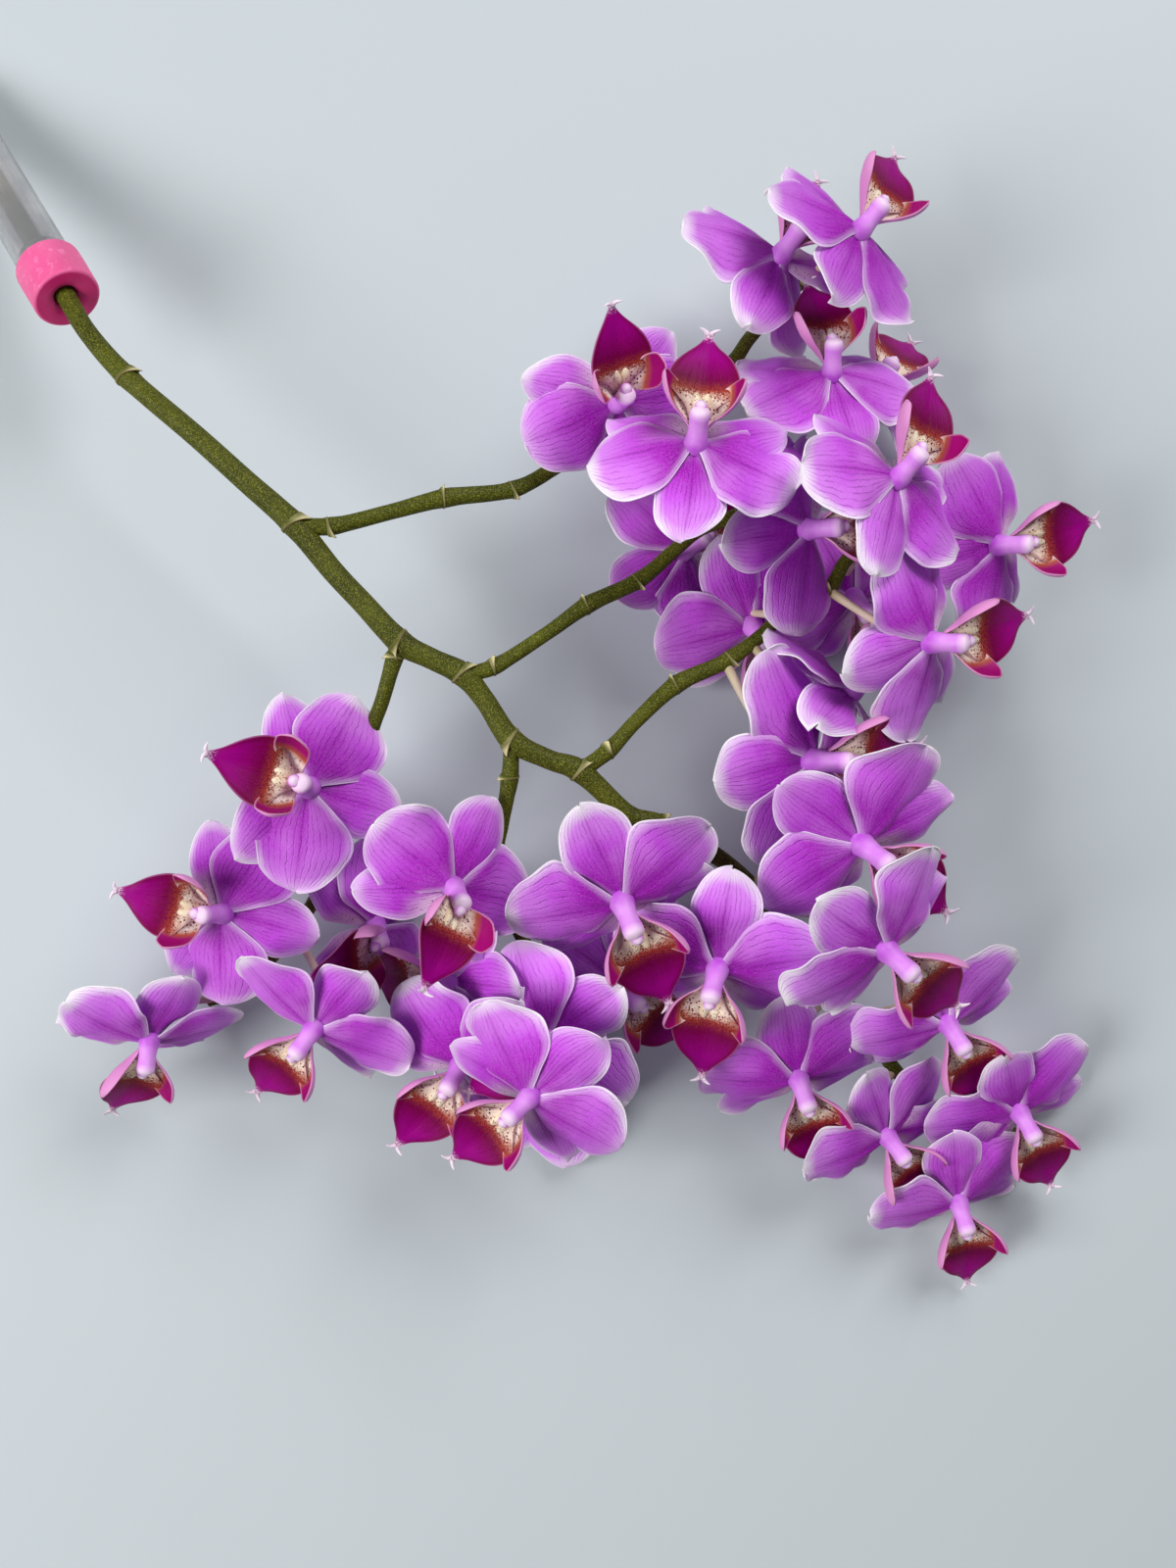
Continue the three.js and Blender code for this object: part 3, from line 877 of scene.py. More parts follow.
@dataclass(frozen=True)
class Finish:
    """What every finish shares: a name, the plain constants of its shader and the scales of its grain."""

    name: str
    rough: float = 0.5
    specular: float = 0.4
    sheen: float = 0.0
    sheen_rough: float = 0.4
    bump: float = 0.15
    coarse: float = 100.0
    fine: float = 1800.0

    def constants(self) -> dict[str, float]:
        """Returns the shader's plain constants by the names of their sockets."""
        return {"Roughness": self.rough, "Specular IOR Level": self.specular,
                "Sheen Weight": self.sheen, "Sheen Roughness": self.sheen_rough}

    def grain(self, w: Wiring) -> NodeOutputs:
        """Returns the grain's outputs at the finish's own scales."""
        return w.group(w.effects.grain, Place=w.place, Coarse=self.coarse, Fine=self.fine)

    def paint(self, w: Wiring) -> Coat:
        """Paints the surface; every finish has its own way."""
        raise NotImplementedError

    def build(self, effects: Effects) -> Material:
        """Builds the material.

        Args:
            effects: The shared shader groups.

        Returns:
            The material, with its constants on the shader's own sockets and its coat fed to them.
        """
        made = bpy.data.materials.new(self.name)
        made.use_nodes = True
        w = Wiring(made.node_tree, effects)
        sockets = made.node_tree.nodes["Principled BSDF"].inputs
        for title, value in self.constants().items():
            sockets[title].default_value = value
        coat = self.paint(w)
        w.feed(sockets["Base Color"], coat.colour)
        if coat.rough is not None:
            w.feed(sockets["Roughness"], coat.rough)
        if coat.height is not None:
            bump = w.node("ShaderNodeBump")
            bump.inputs["Strength"].default_value = self.bump
            bump.inputs["Distance"].default_value = coat.relief
            w.feed(bump.inputs["Height"], coat.height)
            w.feed(sockets["Normal"], bump.outputs["Normal"])
        return made


@dataclass(frozen=True)
class BladeFinish(Finish):
    """A finish for blades: veins along them, a pale rim and freckles. Rim widths are in millimetres."""

    lines: float = 9.0
    waver: float = 0.3
    seed: float = 0.0
    rim_line: float = 0.3
    rim_band: float = 2.0
    freckle_scale: float = 1100.0
    freckle_size: float = 0.34

    def veined(self, w: Wiring, seed: object) -> Socket:
        """Places the veins.

        Args:
            w: The material's wiring.
            seed: What makes them this piece's own.

        Returns:
            Their mask.
        """
        across, along, _ = w.leaf
        return w.group(w.effects.veins, Across=across, Along=along, Lines=self.lines, Waver=self.waver,
                       Seed=seed)["Mask"]

    def rimmed(self, w: Wiring) -> NodeOutputs:
        """Returns the masks of the rim's line and band."""
        return w.group(w.effects.rim, Edge=w.leaf[2], Place=w.place, Line=self.rim_line, Band=self.rim_band)

    def freckled(self, w: Wiring) -> Socket:
        """Returns the mask of the freckles."""
        return w.group(w.effects.freckles, Place=w.place, Scale=self.freckle_scale,
                       Size=self.freckle_size)["Mask"]


@dataclass(frozen=True)
class PetalFinish(BladeFinish):
    """Orchid purple, deeper toward the middle, with fine veins, a pale rim, painted shade along the middle
    groove and a painted sparkle of pale highlights.
    """

    heart: Colour = tone(126, 0, 136)
    inner: Colour = tone(174, 20, 190)
    body: Colour = tone(212, 84, 238)
    outer: Colour = tone(232, 148, 252)
    # Pale lilac of the band inside the rim, also used for the painted sparkle of highlights.
    band: Colour = tone(242, 196, 255)
    rim: Colour = tone(255, 249, 255)
    vein: Colour = tone(148, 10, 168)
    back: Colour = tone(212, 138, 230)
    cream: Colour = tone(250, 226, 240)
    dots: Colour = tone(132, 14, 84)
    spots: float = 0.0
    coarse: float = 110.0
    fine: float = 2200.0
    lines: float = 15.0
    waver: float = 0.15
    rim_line: float = 0.42
    rim_band: float = 3.0
    freckle_scale: float = 1250.0
    freckle_size: float = 0.32
    blush_scale: float = 55.0

    def spotted(self, w: Wiring, middle: Socket) -> list[tuple[object, Colour]]:
        """Returns the layers of the cream patches at the root and of their freckles.

        Args:
            w: The material's wiring.
            middle: The distance from the middle line.

        Returns:
            Masks and colours, none where the finish has no spots.
        """
        if not self.spots:
            return []
        root = w.times(w.span(w.leaf[1], 0.15, 0.52, 1.0, 0.0), w.span(middle, 0.05, 0.55))
        freckles = w.times(self.freckled(w), root)
        return [(w.times(root, self.spots), self.cream), (freckles, self.dots)]

    def paint(self, w: Wiring) -> Coat:
        """Paints from the heart outward with painted shade along the middle groove, then the spots, the
        veins, the pale tip, the back, the rim and a painted sparkle of pale highlights.

        Args:
            w: The material's wiring.

        Returns:
            The coat.
        """
        across, along, edge = w.leaf
        middle = w.math("ABSOLUTE", across)
        tint = w.number("tint")
        grain, rim = self.grain(w), self.rimmed(w)
        veins = self.veined(w, tint)
        blush = w.noise(w.place, self.blush_scale)
        streak = w.times(w.plus(edge, veins), w.span(along, 0.55, 1.0, 1.25, 0.6))
        outward = w.times(w.span(along, 0.25, 1.0, 0.2, 1.0), w.span(blush, 0.35, 0.62, 0.25, 1.15))
        fade = w.times(w.span(streak, 0.1, 4.0, 1.0, 0.0), outward)
        shade = w.layers(
            w.ramp(along, (0.0, self.heart), (0.26, self.inner), (0.56, self.body), (0.9, self.outer)),
            (w.span(blush, 0.4, 0.68, 0.0, 0.5), self.outer),
            (w.times(w.span(middle, 0.0, 0.3, 0.75, 0.0), w.span(along, 0.15, 0.9, 1.0, 0.2)), self.inner),
            # Painted shade: a thin dark line of the vein colour along the middle groove, where shade falls.
            (w.times(w.span(middle, 0.0, 0.06, 0.7, 0.0), w.span(along, 0.1, 0.9, 1.0, 0.3)), self.vein),
            (w.span(tint, 0.1, 1.0, 0.38, 0.0), self.inner),
            *self.spotted(w, middle),
            (w.times(veins, 0.33), self.vein),
            (w.times(rim["Band"], 0.5), self.band),
            (w.times(fade, w.span(tint, 0.0, 1.0, 0.5, 0.85), True), self.rim),
            (w.times(w.back(), 0.5), self.back),
            (w.times(rim["Line"], w.plus(w.times(outward, 0.9), 0.3), True), self.rim),
            # Painted highlight: fine pale flecks that stand in for the glints of light on the petal's cells.
            (w.times(grain["Speckle"], 0.08), self.band))
        return Coat(shade, w.plus(w.times(veins, -1.0), grain["Height"]), relief=0.0004)


@dataclass(frozen=True)
class LipFinish(BladeFinish):
    """Deep magenta with brown shoulders, cream at the claw and white at the point."""

    cream: Colour = tone(250, 231, 212)
    brown: Colour = tone(166, 66, 44)
    deep: Colour = tone(114, 2, 58)
    body: Colour = tone(156, 0, 128)
    point: Colour = tone(252, 236, 250)
    rim: Colour = tone(236, 150, 214)
    dots: Colour = tone(104, 10, 40)
    coarse: float = 140.0
    fine: float = 2400.0
    seed: float = 0.4

    def paint(self, w: Wiring) -> Coat:
        """Paints from the claw to the point, then the shoulders, the margin, the veins and the freckles.

        Args:
            w: The material's wiring.

        Returns:
            The coat.
        """
        across, along, edge = w.leaf
        grain, rim = self.grain(w), self.rimmed(w)
        veins = self.veined(w, self.seed)
        reach = w.plus(along, w.times(w.plus(grain["Speckle"], -0.5), 0.07))
        shoulder = w.times(w.span(w.math("ABSOLUTE", across), 0.4, 0.95), w.span(along, 0.3, 0.48, 0.7, 0.0))
        margin = w.times(w.span(edge, 0.2, 2.4, 0.7, 0.0), w.span(along, 0.3, 0.4))
        shade = w.layers(
            w.ramp(reach, (0.0, self.cream), (0.26, self.cream), (0.33, self.brown), (0.42, self.deep),
                   (0.64, self.body), (0.84, self.body), (0.95, self.point)),
            (w.times(shoulder, w.span(along, 0.22, 0.28)), self.brown),
            (w.times(margin, w.span(along, 0.7, 0.9, 1.0, 0.0)), self.deep),
            (w.times(veins, 0.3), self.deep),
            (w.times(self.freckled(w), w.span(along, 0.3, 0.42, 1.0, 0.0)), self.dots),
            (w.times(w.back(), 0.3), self.rim),
            (w.times(rim["Line"], 0.25), self.rim))
        return Coat(shade, w.plus(veins, grain["Height"]))


@dataclass(frozen=True)
class SideLobeFinish(BladeFinish):
    """Cream with dots at the base, a brown-red band, and magenta toward the pale rim."""

    cream: Colour = tone(250, 232, 222)
    brown: Colour = tone(178, 84, 56)
    body: Colour = tone(158, 8, 108)
    rim: Colour = tone(240, 176, 214)
    back: Colour = tone(226, 150, 206)
    dots: Colour = tone(112, 14, 44)
    coarse: float = 140.0
    fine: float = 2400.0
    lines: float = 6.0
    seed: float = 0.7
    rim_band: float = 1.6
    freckle_scale: float = 1150.0
    freckle_size: float = 0.36

    def paint(self, w: Wiring) -> Coat:
        """Paints from the base outward, then the veins, the freckles, the back and the rim.

        Args:
            w: The material's wiring.

        Returns:
            The coat.
        """
        along = w.leaf[1]
        grain, rim = self.grain(w), self.rimmed(w)
        veins = self.veined(w, self.seed)
        shade = w.layers(
            w.ramp(along, (0.0, self.cream), (0.43, self.cream), (0.55, self.brown), (0.66, self.body),
                   (0.9, self.body)),
            (w.times(veins, 0.3), self.body),
            (w.times(self.freckled(w), w.span(along, 0.48, 0.62, 1.0, 0.0)), self.dots),
            (w.back(), self.back),
            (w.times(rim["Line"], 0.35), self.rim))
        return Coat(shade, w.plus(veins, grain["Height"]))


@dataclass(frozen=True)
class CallusFinish(Finish):
    """Cream yellow with maroon dots."""

    body: Colour = tone(252, 238, 214)
    low: Colour = tone(240, 206, 150)
    dots: Colour = tone(110, 14, 36)
    coarse: float = 300.0
    fine: float = 2400.0
    dot_scale: float = 1500.0
    dot_size: float = 0.3

    def paint(self, w: Wiring) -> Coat:
        """Paints the clouded cream, then its dots.

        Args:
            w: The material's wiring.

        Returns:
            The coat.
        """
        grain = self.grain(w)
        dots = w.group(w.effects.freckles, Place=w.place, Scale=self.dot_scale, Size=self.dot_size)
        shade = w.layers(self.body, (w.times(grain["Cloud"], 0.5), self.low), (dots["Mask"], self.dots))
        return Coat(shade, grain["Height"])


@dataclass(frozen=True)
class ShadedFinish(Finish):
    """Colours that run along a piece, clouded with one of them."""

    stops: tuple[tuple[float, Colour], ...] = ()
    cloud: Colour = tone(255, 255, 255)
    clouded: float = 0.2

    def paint(self, w: Wiring) -> Coat:
        """Paints the run of colours, then the clouds.

        Args:
            w: The material's wiring.

        Returns:
            The coat.
        """
        grain = self.grain(w)
        shade = w.mix(w.times(grain["Cloud"], self.clouded), w.ramp(w.leaf[1], *self.stops), self.cloud)
        return Coat(shade, grain["Height"])


@dataclass(frozen=True)
class StemFinish(Finish):
    """Olive green, mottled with fine yellow-green specks."""

    dark: Colour = tone(52, 56, 8)
    body: Colour = tone(74, 78, 16)
    specks: Colour = tone(140, 142, 52)
    coarse: float = 70.0
    fine: float = 2900.0

    def paint(self, w: Wiring) -> Coat:
        """Paints the mottled green, then the specks.

        Args:
            w: The material's wiring.

        Returns:
            The coat.
        """
        grain = self.grain(w)
        specks = w.times(w.math("POWER", grain["Speckle"], 2.5), 0.7)
        return Coat(w.layers(self.dark, (grain["Cloud"], self.body), (specks, self.specks)), grain["Height"])


@dataclass(frozen=True)
class BractFinish(Finish):
    """A dry scale: green at the foot, cream at its point, brown at its rim."""

    foot: Colour = tone(84, 86, 14)
    point: Colour = tone(218, 208, 156)
    edge: Colour = tone(112, 84, 52)
    coarse: float = 200.0
    fine: float = 1700.0

    def paint(self, w: Wiring) -> Coat:
        """Paints from the foot to the point, then the dry rim.

        Args:
            w: The material's wiring.

        Returns:
            The coat.
        """
        grain = self.grain(w)
        share = w.plus(w.span(w.leaf[1], 0.15, 0.75), w.times(grain["Cloud"], 0.3), True)
        dry = w.span(w.leaf[2], 0.1, 0.5, 0.75, 0.0)
        return Coat(w.layers(self.foot, (share, self.point), (dry, self.edge)), grain["Height"])


@dataclass(frozen=True)
class RubberFinish(Finish):
    """Pink rubber with faint clouding and dust, scratched by wear on its outer side, which is painted paler
    as painted light while the face stays deeper as painted shade.
    """

    body: Colour = tone(224, 22, 116)
    # Pale pink for the painted light on the outer side and for the scratches of wear.
    lit_and_worn: Colour = tone(252, 134, 186)
    coarse: float = 120.0
    fine: float = 1400.0
    scratch_scale: float = 420.0

    def paint(self, w: Wiring) -> Coat:
        """Paints the rubber, the painted light that makes its outer side paler, and the scratches of wear
        there.

        Args:
            w: The material's wiring.

        Returns:
            The coat.
        """
        grain = self.grain(w)
        scratch = w.span(w.noise(w.place, self.scratch_scale, 4.0, 0.7), 0.54, 0.66, 0.0, 0.45)
        # Painted light: the outer side is mixed toward the pale pink as if lit, the face stays deeper as
        # painted shade, and the scratches of wear lie on the outer side.
        lit_side_and_wear = w.number("lit_side_and_wear")
        share = w.plus(w.times(lit_side_and_wear, 0.45), w.times(grain["Cloud"], 0.15))
        shade = w.mix(w.plus(share, w.times(scratch, lit_side_and_wear), True), self.body, self.lit_and_worn)
        return Coat(shade, grain["Height"], rough=w.span(grain["Cloud"], 0.0, 1.0, 0.42, 0.58))


@dataclass(frozen=True)
class ClearFinish(Finish):
    """Clear plastic or water: light goes through it."""

    body: Colour = tone(252, 249, 249)
    hazy: Colour = tone(226, 226, 228)
    bend: float = 1.49
    clear: float = 1.0
    smear: float = 0.08
    coarse: float = 40.0
    fine: float = 500.0

    def constants(self) -> dict[str, float]:
        """Adds how much light goes through and how far it bends."""
        return super().constants() | {"Transmission Weight": self.clear, "IOR": self.bend}

    def paint(self, w: Wiring) -> Coat:
        """Paints the haze.

        Args:
            w: The material's wiring.

        Returns:
            The coat.
        """
        grain = self.grain(w)
        shade = w.mix(w.span(grain["Cloud"], 0.2, 0.9), self.body, self.hazy)
        rough = w.span(grain["Cloud"], 0.0, 1.0, self.rough, self.rough + self.smear)
        return Coat(shade, grain["Height"], rough=rough)


@dataclass(frozen=True)
class FloorFinish(Finish):
    """A plain pale surface, faintly clouded."""

    body: Colour = tone(197, 205, 209)
    cloud: Colour = tone(182, 190, 198)
    coarse: float = 6.0
    fine: float = 900.0

    def paint(self, w: Wiring) -> Coat:
        """Paints the floor."""
        return Coat(w.mix(w.times(self.grain(w)["Cloud"], 0.05), self.body, self.cloud))


class Palette:
    """Every finish of the part, built once; those of a bloom are in the order of its parts."""

    def __init__(self) -> None:
        """Builds the materials."""
        effects = Effects()
        petal = PetalFinish("petal", specular=0.16, sheen=0.02, bump=0.6)
        # The lateral sepals carry spots at their roots; their deeper inner and body tones are painted shade,
        # for blades that lie behind the petals.
        sepal = replace(petal, name="lateral_sepal", spots=0.7, inner=tone(164, 10, 184),
                        body=tone(202, 68, 228))
        lip = LipFinish("lip", rough=0.42, specular=0.08, bump=0.3)
        side_lobe = SideLobeFinish("side_lobe", rough=0.45, specular=0.1, bump=0.3)
        callus = CallusFinish("callus", rough=0.4, specular=0.5, bump=0.4)
        violet, lilac, tip = tone(192, 76, 216), tone(222, 134, 238), tone(250, 218, 248)
        column = ShadedFinish(
            "column", specular=0.3, bump=0.2, coarse=200.0, fine=2600.0, cloud=tip, clouded=0.2,
            stops=((0.0, violet), (0.15, violet), (0.4, lilac), (0.72, lilac), (0.92, tip)))
        top, pale, green = tone(178, 92, 196), tone(226, 204, 184), tone(168, 160, 96)
        stalk = ShadedFinish(
            "stalk", bump=0.25, coarse=150.0, fine=1800.0, cloud=green, clouded=0.3,
            stops=((0.0, top), (0.18, top), (0.4, pale), (0.8, pale), (1.0, green)))
        finishes = (petal, lip, side_lobe, callus, column, stalk, sepal)
        self.bloom = [finish.build(effects) for finish in finishes]
        self.stem = StemFinish("stem", rough=0.55, specular=0.15, bump=0.3).build(effects)
        self.bract = BractFinish("bract", rough=0.7, specular=0.25, bump=0.4).build(effects)
        self.rubber = RubberFinish("rubber", specular=0.35, bump=0.2).build(effects)
        self.plastic = ClearFinish("clear_plastic", rough=0.06, specular=0.6, clear=0.8).build(effects)
        self.water = ClearFinish("water", rough=0.0, bump=0.02, bend=1.333).build(effects)
        self.floor = FloorFinish("floor", rough=0.6, specular=0.2).build(effects)


# ---- Blooms ----

def leaf_numbers(across: Array, along: Array, edge: Array) -> Array:
    """Returns the leaf numbers of a grid, from those of its columns and rows and its rim distances."""
    return np.stack([np.broadcast_to(across, edge.shape), np.broadcast_to(along, edge.shape), edge], -1)


def columns_across(count: int) -> Array:
    """Returns places from -1 to 1 across a blade, closer together at its rims."""
    return np.sin(np.linspace(-1.0, 1.0, count) * math.pi / 2)


@dataclass(frozen=True)
class Tepal:
    """A sepal or petal: its solid's sizes, and what its fine form adds.

    Sizes are in millimetres, angles in degrees, and places along it are shares of its length. Peak is
    where it is widest, near and far say how slowly its width grows and shrinks, curl is how far it bends
    back on its way, and lift is the height of its root. Cup, groove, wave, hook, droop and twist are how
    far it stands off its plain form; ragged and sway are the unevenness of its outline. Steps are those
    of its middle line, and crowding draws its rows toward the tip.
    """

    length: float
    half: float
    peak: float
    near: float
    far: float
    root: float
    curl: float
    lift: float
    cup: float
    wave: float
    skew: float = 0.0
    start: float = 1.6
    rows: int = 32
    columns: int = 19
    steps: int = 120
    crowding: float = 1.7
    thick: float = 0.75
    rim_thick: float = 0.32
    right_waves: float = 7.5
    left_waves: float = 7.0
    small_waves: float = 0.45
    groove: float = 0.6
    groove_width: float = 1.0
    hook: float = 1.1
    droop: float = 0.6
    twist: float = 1.1
    ragged: float = 0.032
    ragged_waves: float = 11.0
    sway: float = 0.4
    sway_waves: float = 3.0
    least_half: float = 0.25

    def half_width(self, s: Array) -> Array:
        """Works out how wide the blade is.

        Args:
            s: Shares of its length.

        Returns:
            Half its width at each.
        """
        power = math.log(0.5) / math.log(self.peak)
        blend = self.near + (self.far - self.near) * np.clip((s - 0.2) / 0.6, 0.0, 1.0)
        swell = np.maximum(0.0, np.sin(math.pi * s ** power)) ** blend
        return self.root * (1.0 - s) ** 2 + self.half * swell

    def middle_line(self, s: Array, fold: float) -> tuple[Array, Array]:
        """Works out where the middle line runs.

        Args:
            s: Shares of its length.
            fold: Its lean at its root, in degrees.

        Returns:
            How far out and how high it lies at each.
        """
        steps = np.linspace(0.0, 1.0, self.steps + 1)
        lean = np.radians(fold + self.curl * (steps[:-1] + 0.5 / self.steps))
        out = self.start + np.concatenate([[0.0], np.cumsum(np.cos(lean))]) * self.length / self.steps
        high = self.lift - np.concatenate([[0.0], np.cumsum(np.sin(lean))]) * self.length / self.steps
        return np.interp(s, steps, out), np.interp(s, steps, high)

    def rise(self, share_s: Array, share_t: Array, half: Array, phases: Array, strength: Array) -> Array:
        """Returns how far the blade stands off its plain form.

        Args:
            share_s: The shares along it, for each point of the grid.
            share_t: The places across it, from -1 to 1.
            half: Half its width, for each row.
            phases: Eight chance angles.
            strength: Three chance factors about 1.

        Returns:
            The rise toward its face, in millimetres.
        """
        def ripples(count: float, slow: float, quick: float) -> Array:
            """Returns waves along one rim, with smaller ones of half the length on them."""
            return np.sin(count * share_s + slow) + self.small_waves * np.sin(2 * count * share_s + quick)

        outward = np.abs(share_t)
        right = ripples(self.right_waves, phases[0], phases[4])
        left = ripples(self.left_waves, phases[1], phases[5])
        ripple = self.wave * strength[0] * np.where(share_t > 0, right, left) * outward ** 2.2
        along = np.sin(math.pi * np.minimum(share_s * 0.9 + 0.08, 1.0))
        bow = -self.cup * strength[1] * share_t ** 2 * along
        line = np.exp(-(share_t * half[:, None] / self.groove_width) ** 2)
        groove = -self.groove * line * (1.0 - 0.7 * share_s)
        bend = (self.hook * np.sin(phases[2]) - self.droop) * strength[2]
        hook = bend * ease(share_s, 0.55, 1.0) * (0.4 + outward)
        twist = self.twist * np.sin(phases[6]) * share_t * ease(share_s, 0.15, 0.8)
        return bow + groove + hook + twist + ripple * ease(share_s, 0.05, 0.4)

    def sheet(self, angle: float, fold: float, rng: np.random.Generator) -> Sheet:
        """Makes the blade in the bloom's own frame.

        Args:
            angle: From the dorsal sepal, in degrees.
            fold: How far it leans back at its root, in degrees.
            rng: Where its chance waves come from.

        Returns:
            The blade, in millimetres.
        """
        s = 1.0 - (1.0 - np.linspace(0.0, 1.0, self.rows)) ** self.crowding
        reach, height = self.middle_line(s, fold)
        half = np.maximum(self.half_width(np.minimum(s, 0.9995)), self.least_half)
        share_s, share_t = np.meshgrid(s, columns_across(self.columns), indexing="ij")
        phases = rng.uniform(0.0, 2 * math.pi, 8)
        strength = rng.uniform(0.55, 1.45, 3)
        rise = self.rise(share_s, share_t, half, phases, strength)
        skew = self.skew if angle > 0 else -self.skew
        lobes = np.sin(self.ragged_waves * share_s + phases[7] + 1.7 * np.sign(share_t))
        ragged = 1.0 + self.ragged * lobes + skew * share_t
        sway = self.sway * np.sin(self.sway_waves * share_s + phases[3])
        lateral = share_t * half[:, None] * ragged + sway * ease(share_s, 0.1, 0.5)
        lean = np.radians(fold + self.curl * share_s)
        radial = reach[:, None] + rise * np.sin(lean)
        forward = height[:, None] + rise * np.cos(lean)
        sine, cosine = math.sin(math.radians(angle)), math.cos(math.radians(angle))
        middle = np.stack([radial * sine + lateral * cosine, radial * cosine - lateral * sine, forward], -1)
        edge = np.minimum(half[:, None] * (1.0 - np.abs(share_t)), self.length * (1.0 - share_s) + 0.05)
        body = (1.0 - share_t ** 2) * (1.0 - 0.45 * share_s)
        thick = self.rim_thick + (self.thick - self.rim_thick) * body * ease(edge, -0.5, 2.0)
        return Sheet(middle, thick, leaf_numbers(share_t, share_s, edge))


@dataclass(frozen=True)
class Lip:
    """The lip: a claw, a broad middle lobe that ends in two tendrils, two side lobes and the callus.

    Middle rows are down, forward and half width. Side rows are the low and the high edge of a side lobe,
    each as out, up and forward. Callus rows are out, up, forward and radius. Grids are the rows and columns
    of a lobe, and reaches are how far it grows. Trough, keel and roll are how far the middle lobe stands off
    its plain form, and swell is how far a side lobe bulges outward.
    """

    middle_rows: Rows = (
        (1.2, 0.2, 1.4), (4.4, 3.0, 2.4), (7.0, 5.8, 4.0), (8.4, 6.9, 6.2), (9.9, 7.8, 8.5),
        (12.0, 8.7, 9.6), (14.7, 9.3, 9.5), (17.6, 9.8, 8.4), (20.3, 10.1, 6.8), (22.8, 10.3, 4.9),
        (25.1, 10.4, 3.0), (27.0, 10.6, 1.7), (28.4, 11.0, 1.0), (29.5, 11.6, 0.9))
    side_low: Rows = (
        (2.0, -8.0, 5.8), (3.6, -10.0, 7.2), (5.8, -11.8, 8.9), (8.0, -12.9, 10.6), (9.9, -12.9, 12.8),
        (10.8, -11.6, 15.2))
    side_high: Rows = (
        (1.2, -1.4, 0.6), (2.2, -2.4, 2.8), (3.8, -3.0, 5.6), (6.2, -2.8, 9.0), (8.6, -3.6, 12.8),
        (10.4, -7.0, 16.0))
    callus_rows: Rows = (
        (0.5, -5.2, 3.8, 0.5), (0.9, -6.2, 5.0, 1.1), (1.2, -7.6, 6.2, 1.5), (1.4, -9.0, 7.0, 1.3),
        (1.5, -10.2, 7.5, 0.8), (1.5, -10.9, 7.7, 0.2))
    middle_grid: tuple[int, int] = (36, 15)
    side_grid: tuple[int, int] = (18, 13)
    middle_reach: float = 29.4
    side_reach: float = 15.0
    thick: float = 0.8
    rim_thick: float = 0.4
    trough: float = 1.5
    keel: float = 0.5
    keel_width: float = 0.16
    roll: float = 0.5
    swell: float = 2.1

    def thickness(self, edge: Array) -> Array:
        """Returns the blade's thickness at distances from its rim."""
        return self.rim_thick + (self.thick - self.rim_thick) * ease(edge, 0.0, 1.6)

    def middle_lobe(self) -> Sheet:
        """Makes the claw and the middle lobe.

        Returns:
            Both as one blade.
        """
        count, columns = self.middle_grid
        rows = through(np.array(self.middle_rows), count)
        t = columns_across(columns)[None, :]
        down, forward, half = rows[:, :1], rows[:, 1:2], np.maximum(rows[:, 2:3], 0.4)
        along = np.linspace(0.0, 1.0, count)[:, None]
        wide = ease(half, 2.0, 8.0)
        rise = self.trough * wide * (t ** 2 - 0.25)
        keel = -self.keel * np.exp(-(t / self.keel_width) ** 2) * wide
        roll = self.roll * wide * np.sin(9.0 * along + 2.0 * t) * np.abs(t) ** 3
        middle = np.stack([-half * t, -down + 0.0 * t, forward + rise + keel + roll], -1)
        edge = np.minimum(half * (1.0 - np.abs(t)), self.middle_reach - down + 0.4)
        return Sheet(middle, self.thickness(edge), leaf_numbers(t, along, edge))

    def side_lobe(self, sign: int) -> Sheet:
        """Makes a side lobe.

        Args:
            sign: 1 for the right one, -1 for the left one.

        Returns:
            The blade.
        """
        count, columns = self.side_grid
        low, high = through(np.array(self.side_low), count), through(np.array(self.side_high), count)
        t = columns_across(columns)[None, :]
        along = np.linspace(0.0, 1.0, count)[:, None]
        pinch = np.sqrt(np.clip(1.0 - ease(along, 0.74, 1.02) ** 2, 0.02, 1.0))
        centre, arm = (low + high) / 2, (high - low) / 2
        middle = centre[:, None, :] + arm[:, None, :] * (t[..., None] * pinch[:, :, None])
        length = np.linalg.norm(arm, axis=1)[:, None] * pinch
        inward = unit(np.cross(np.gradient(centre, axis=0), arm))[:, None, :]
        swell = self.swell * (1.0 - t ** 2) * np.sin(math.pi * np.clip(along, 0.0, 1.0)) ** 0.7
        middle = middle - inward * swell[..., None]
        edge = np.minimum(length * (1.0 - np.abs(t)), self.side_reach * (1.0 - along) + 0.05)
        thick, leaf = self.thickness(edge), leaf_numbers(t, along, edge)
        if sign > 0:
            return Sheet(middle[:, ::-1], thick[:, ::-1], leaf[:, ::-1])
        return Sheet(middle * np.array([-1.0, 1.0, 1.0]), thick, leaf)

    @staticmethod
    def tendrils() -> list[Array]:
        """Makes the two curled tendrils at the lip's point.

        Returns:
            Place and radius rows of each.
        """
        turn = np.linspace(0.0, 1.0, 12)
        y = -28.8 - 2.2 * turn + 1.6 * turn ** 2
        z = 11.1 + 1.2 * turn + 0.7 * turn ** 2
        radius = 0.7 * (1.0 - turn) ** 0.7 + 0.1
        return [np.stack([sign * (0.3 + 0.9 * turn + 1.6 * turn ** 2), y, z, radius], -1) for sign in (-1, 1)]

    def callus(self) -> list[Array]:
        """Returns the two humps of the callus between the side lobes, as place and radius rows."""
        return [smooth(np.array(self.callus_rows) * [sign, 1, 1, 1], 0.7) for sign in (-1, 1)]


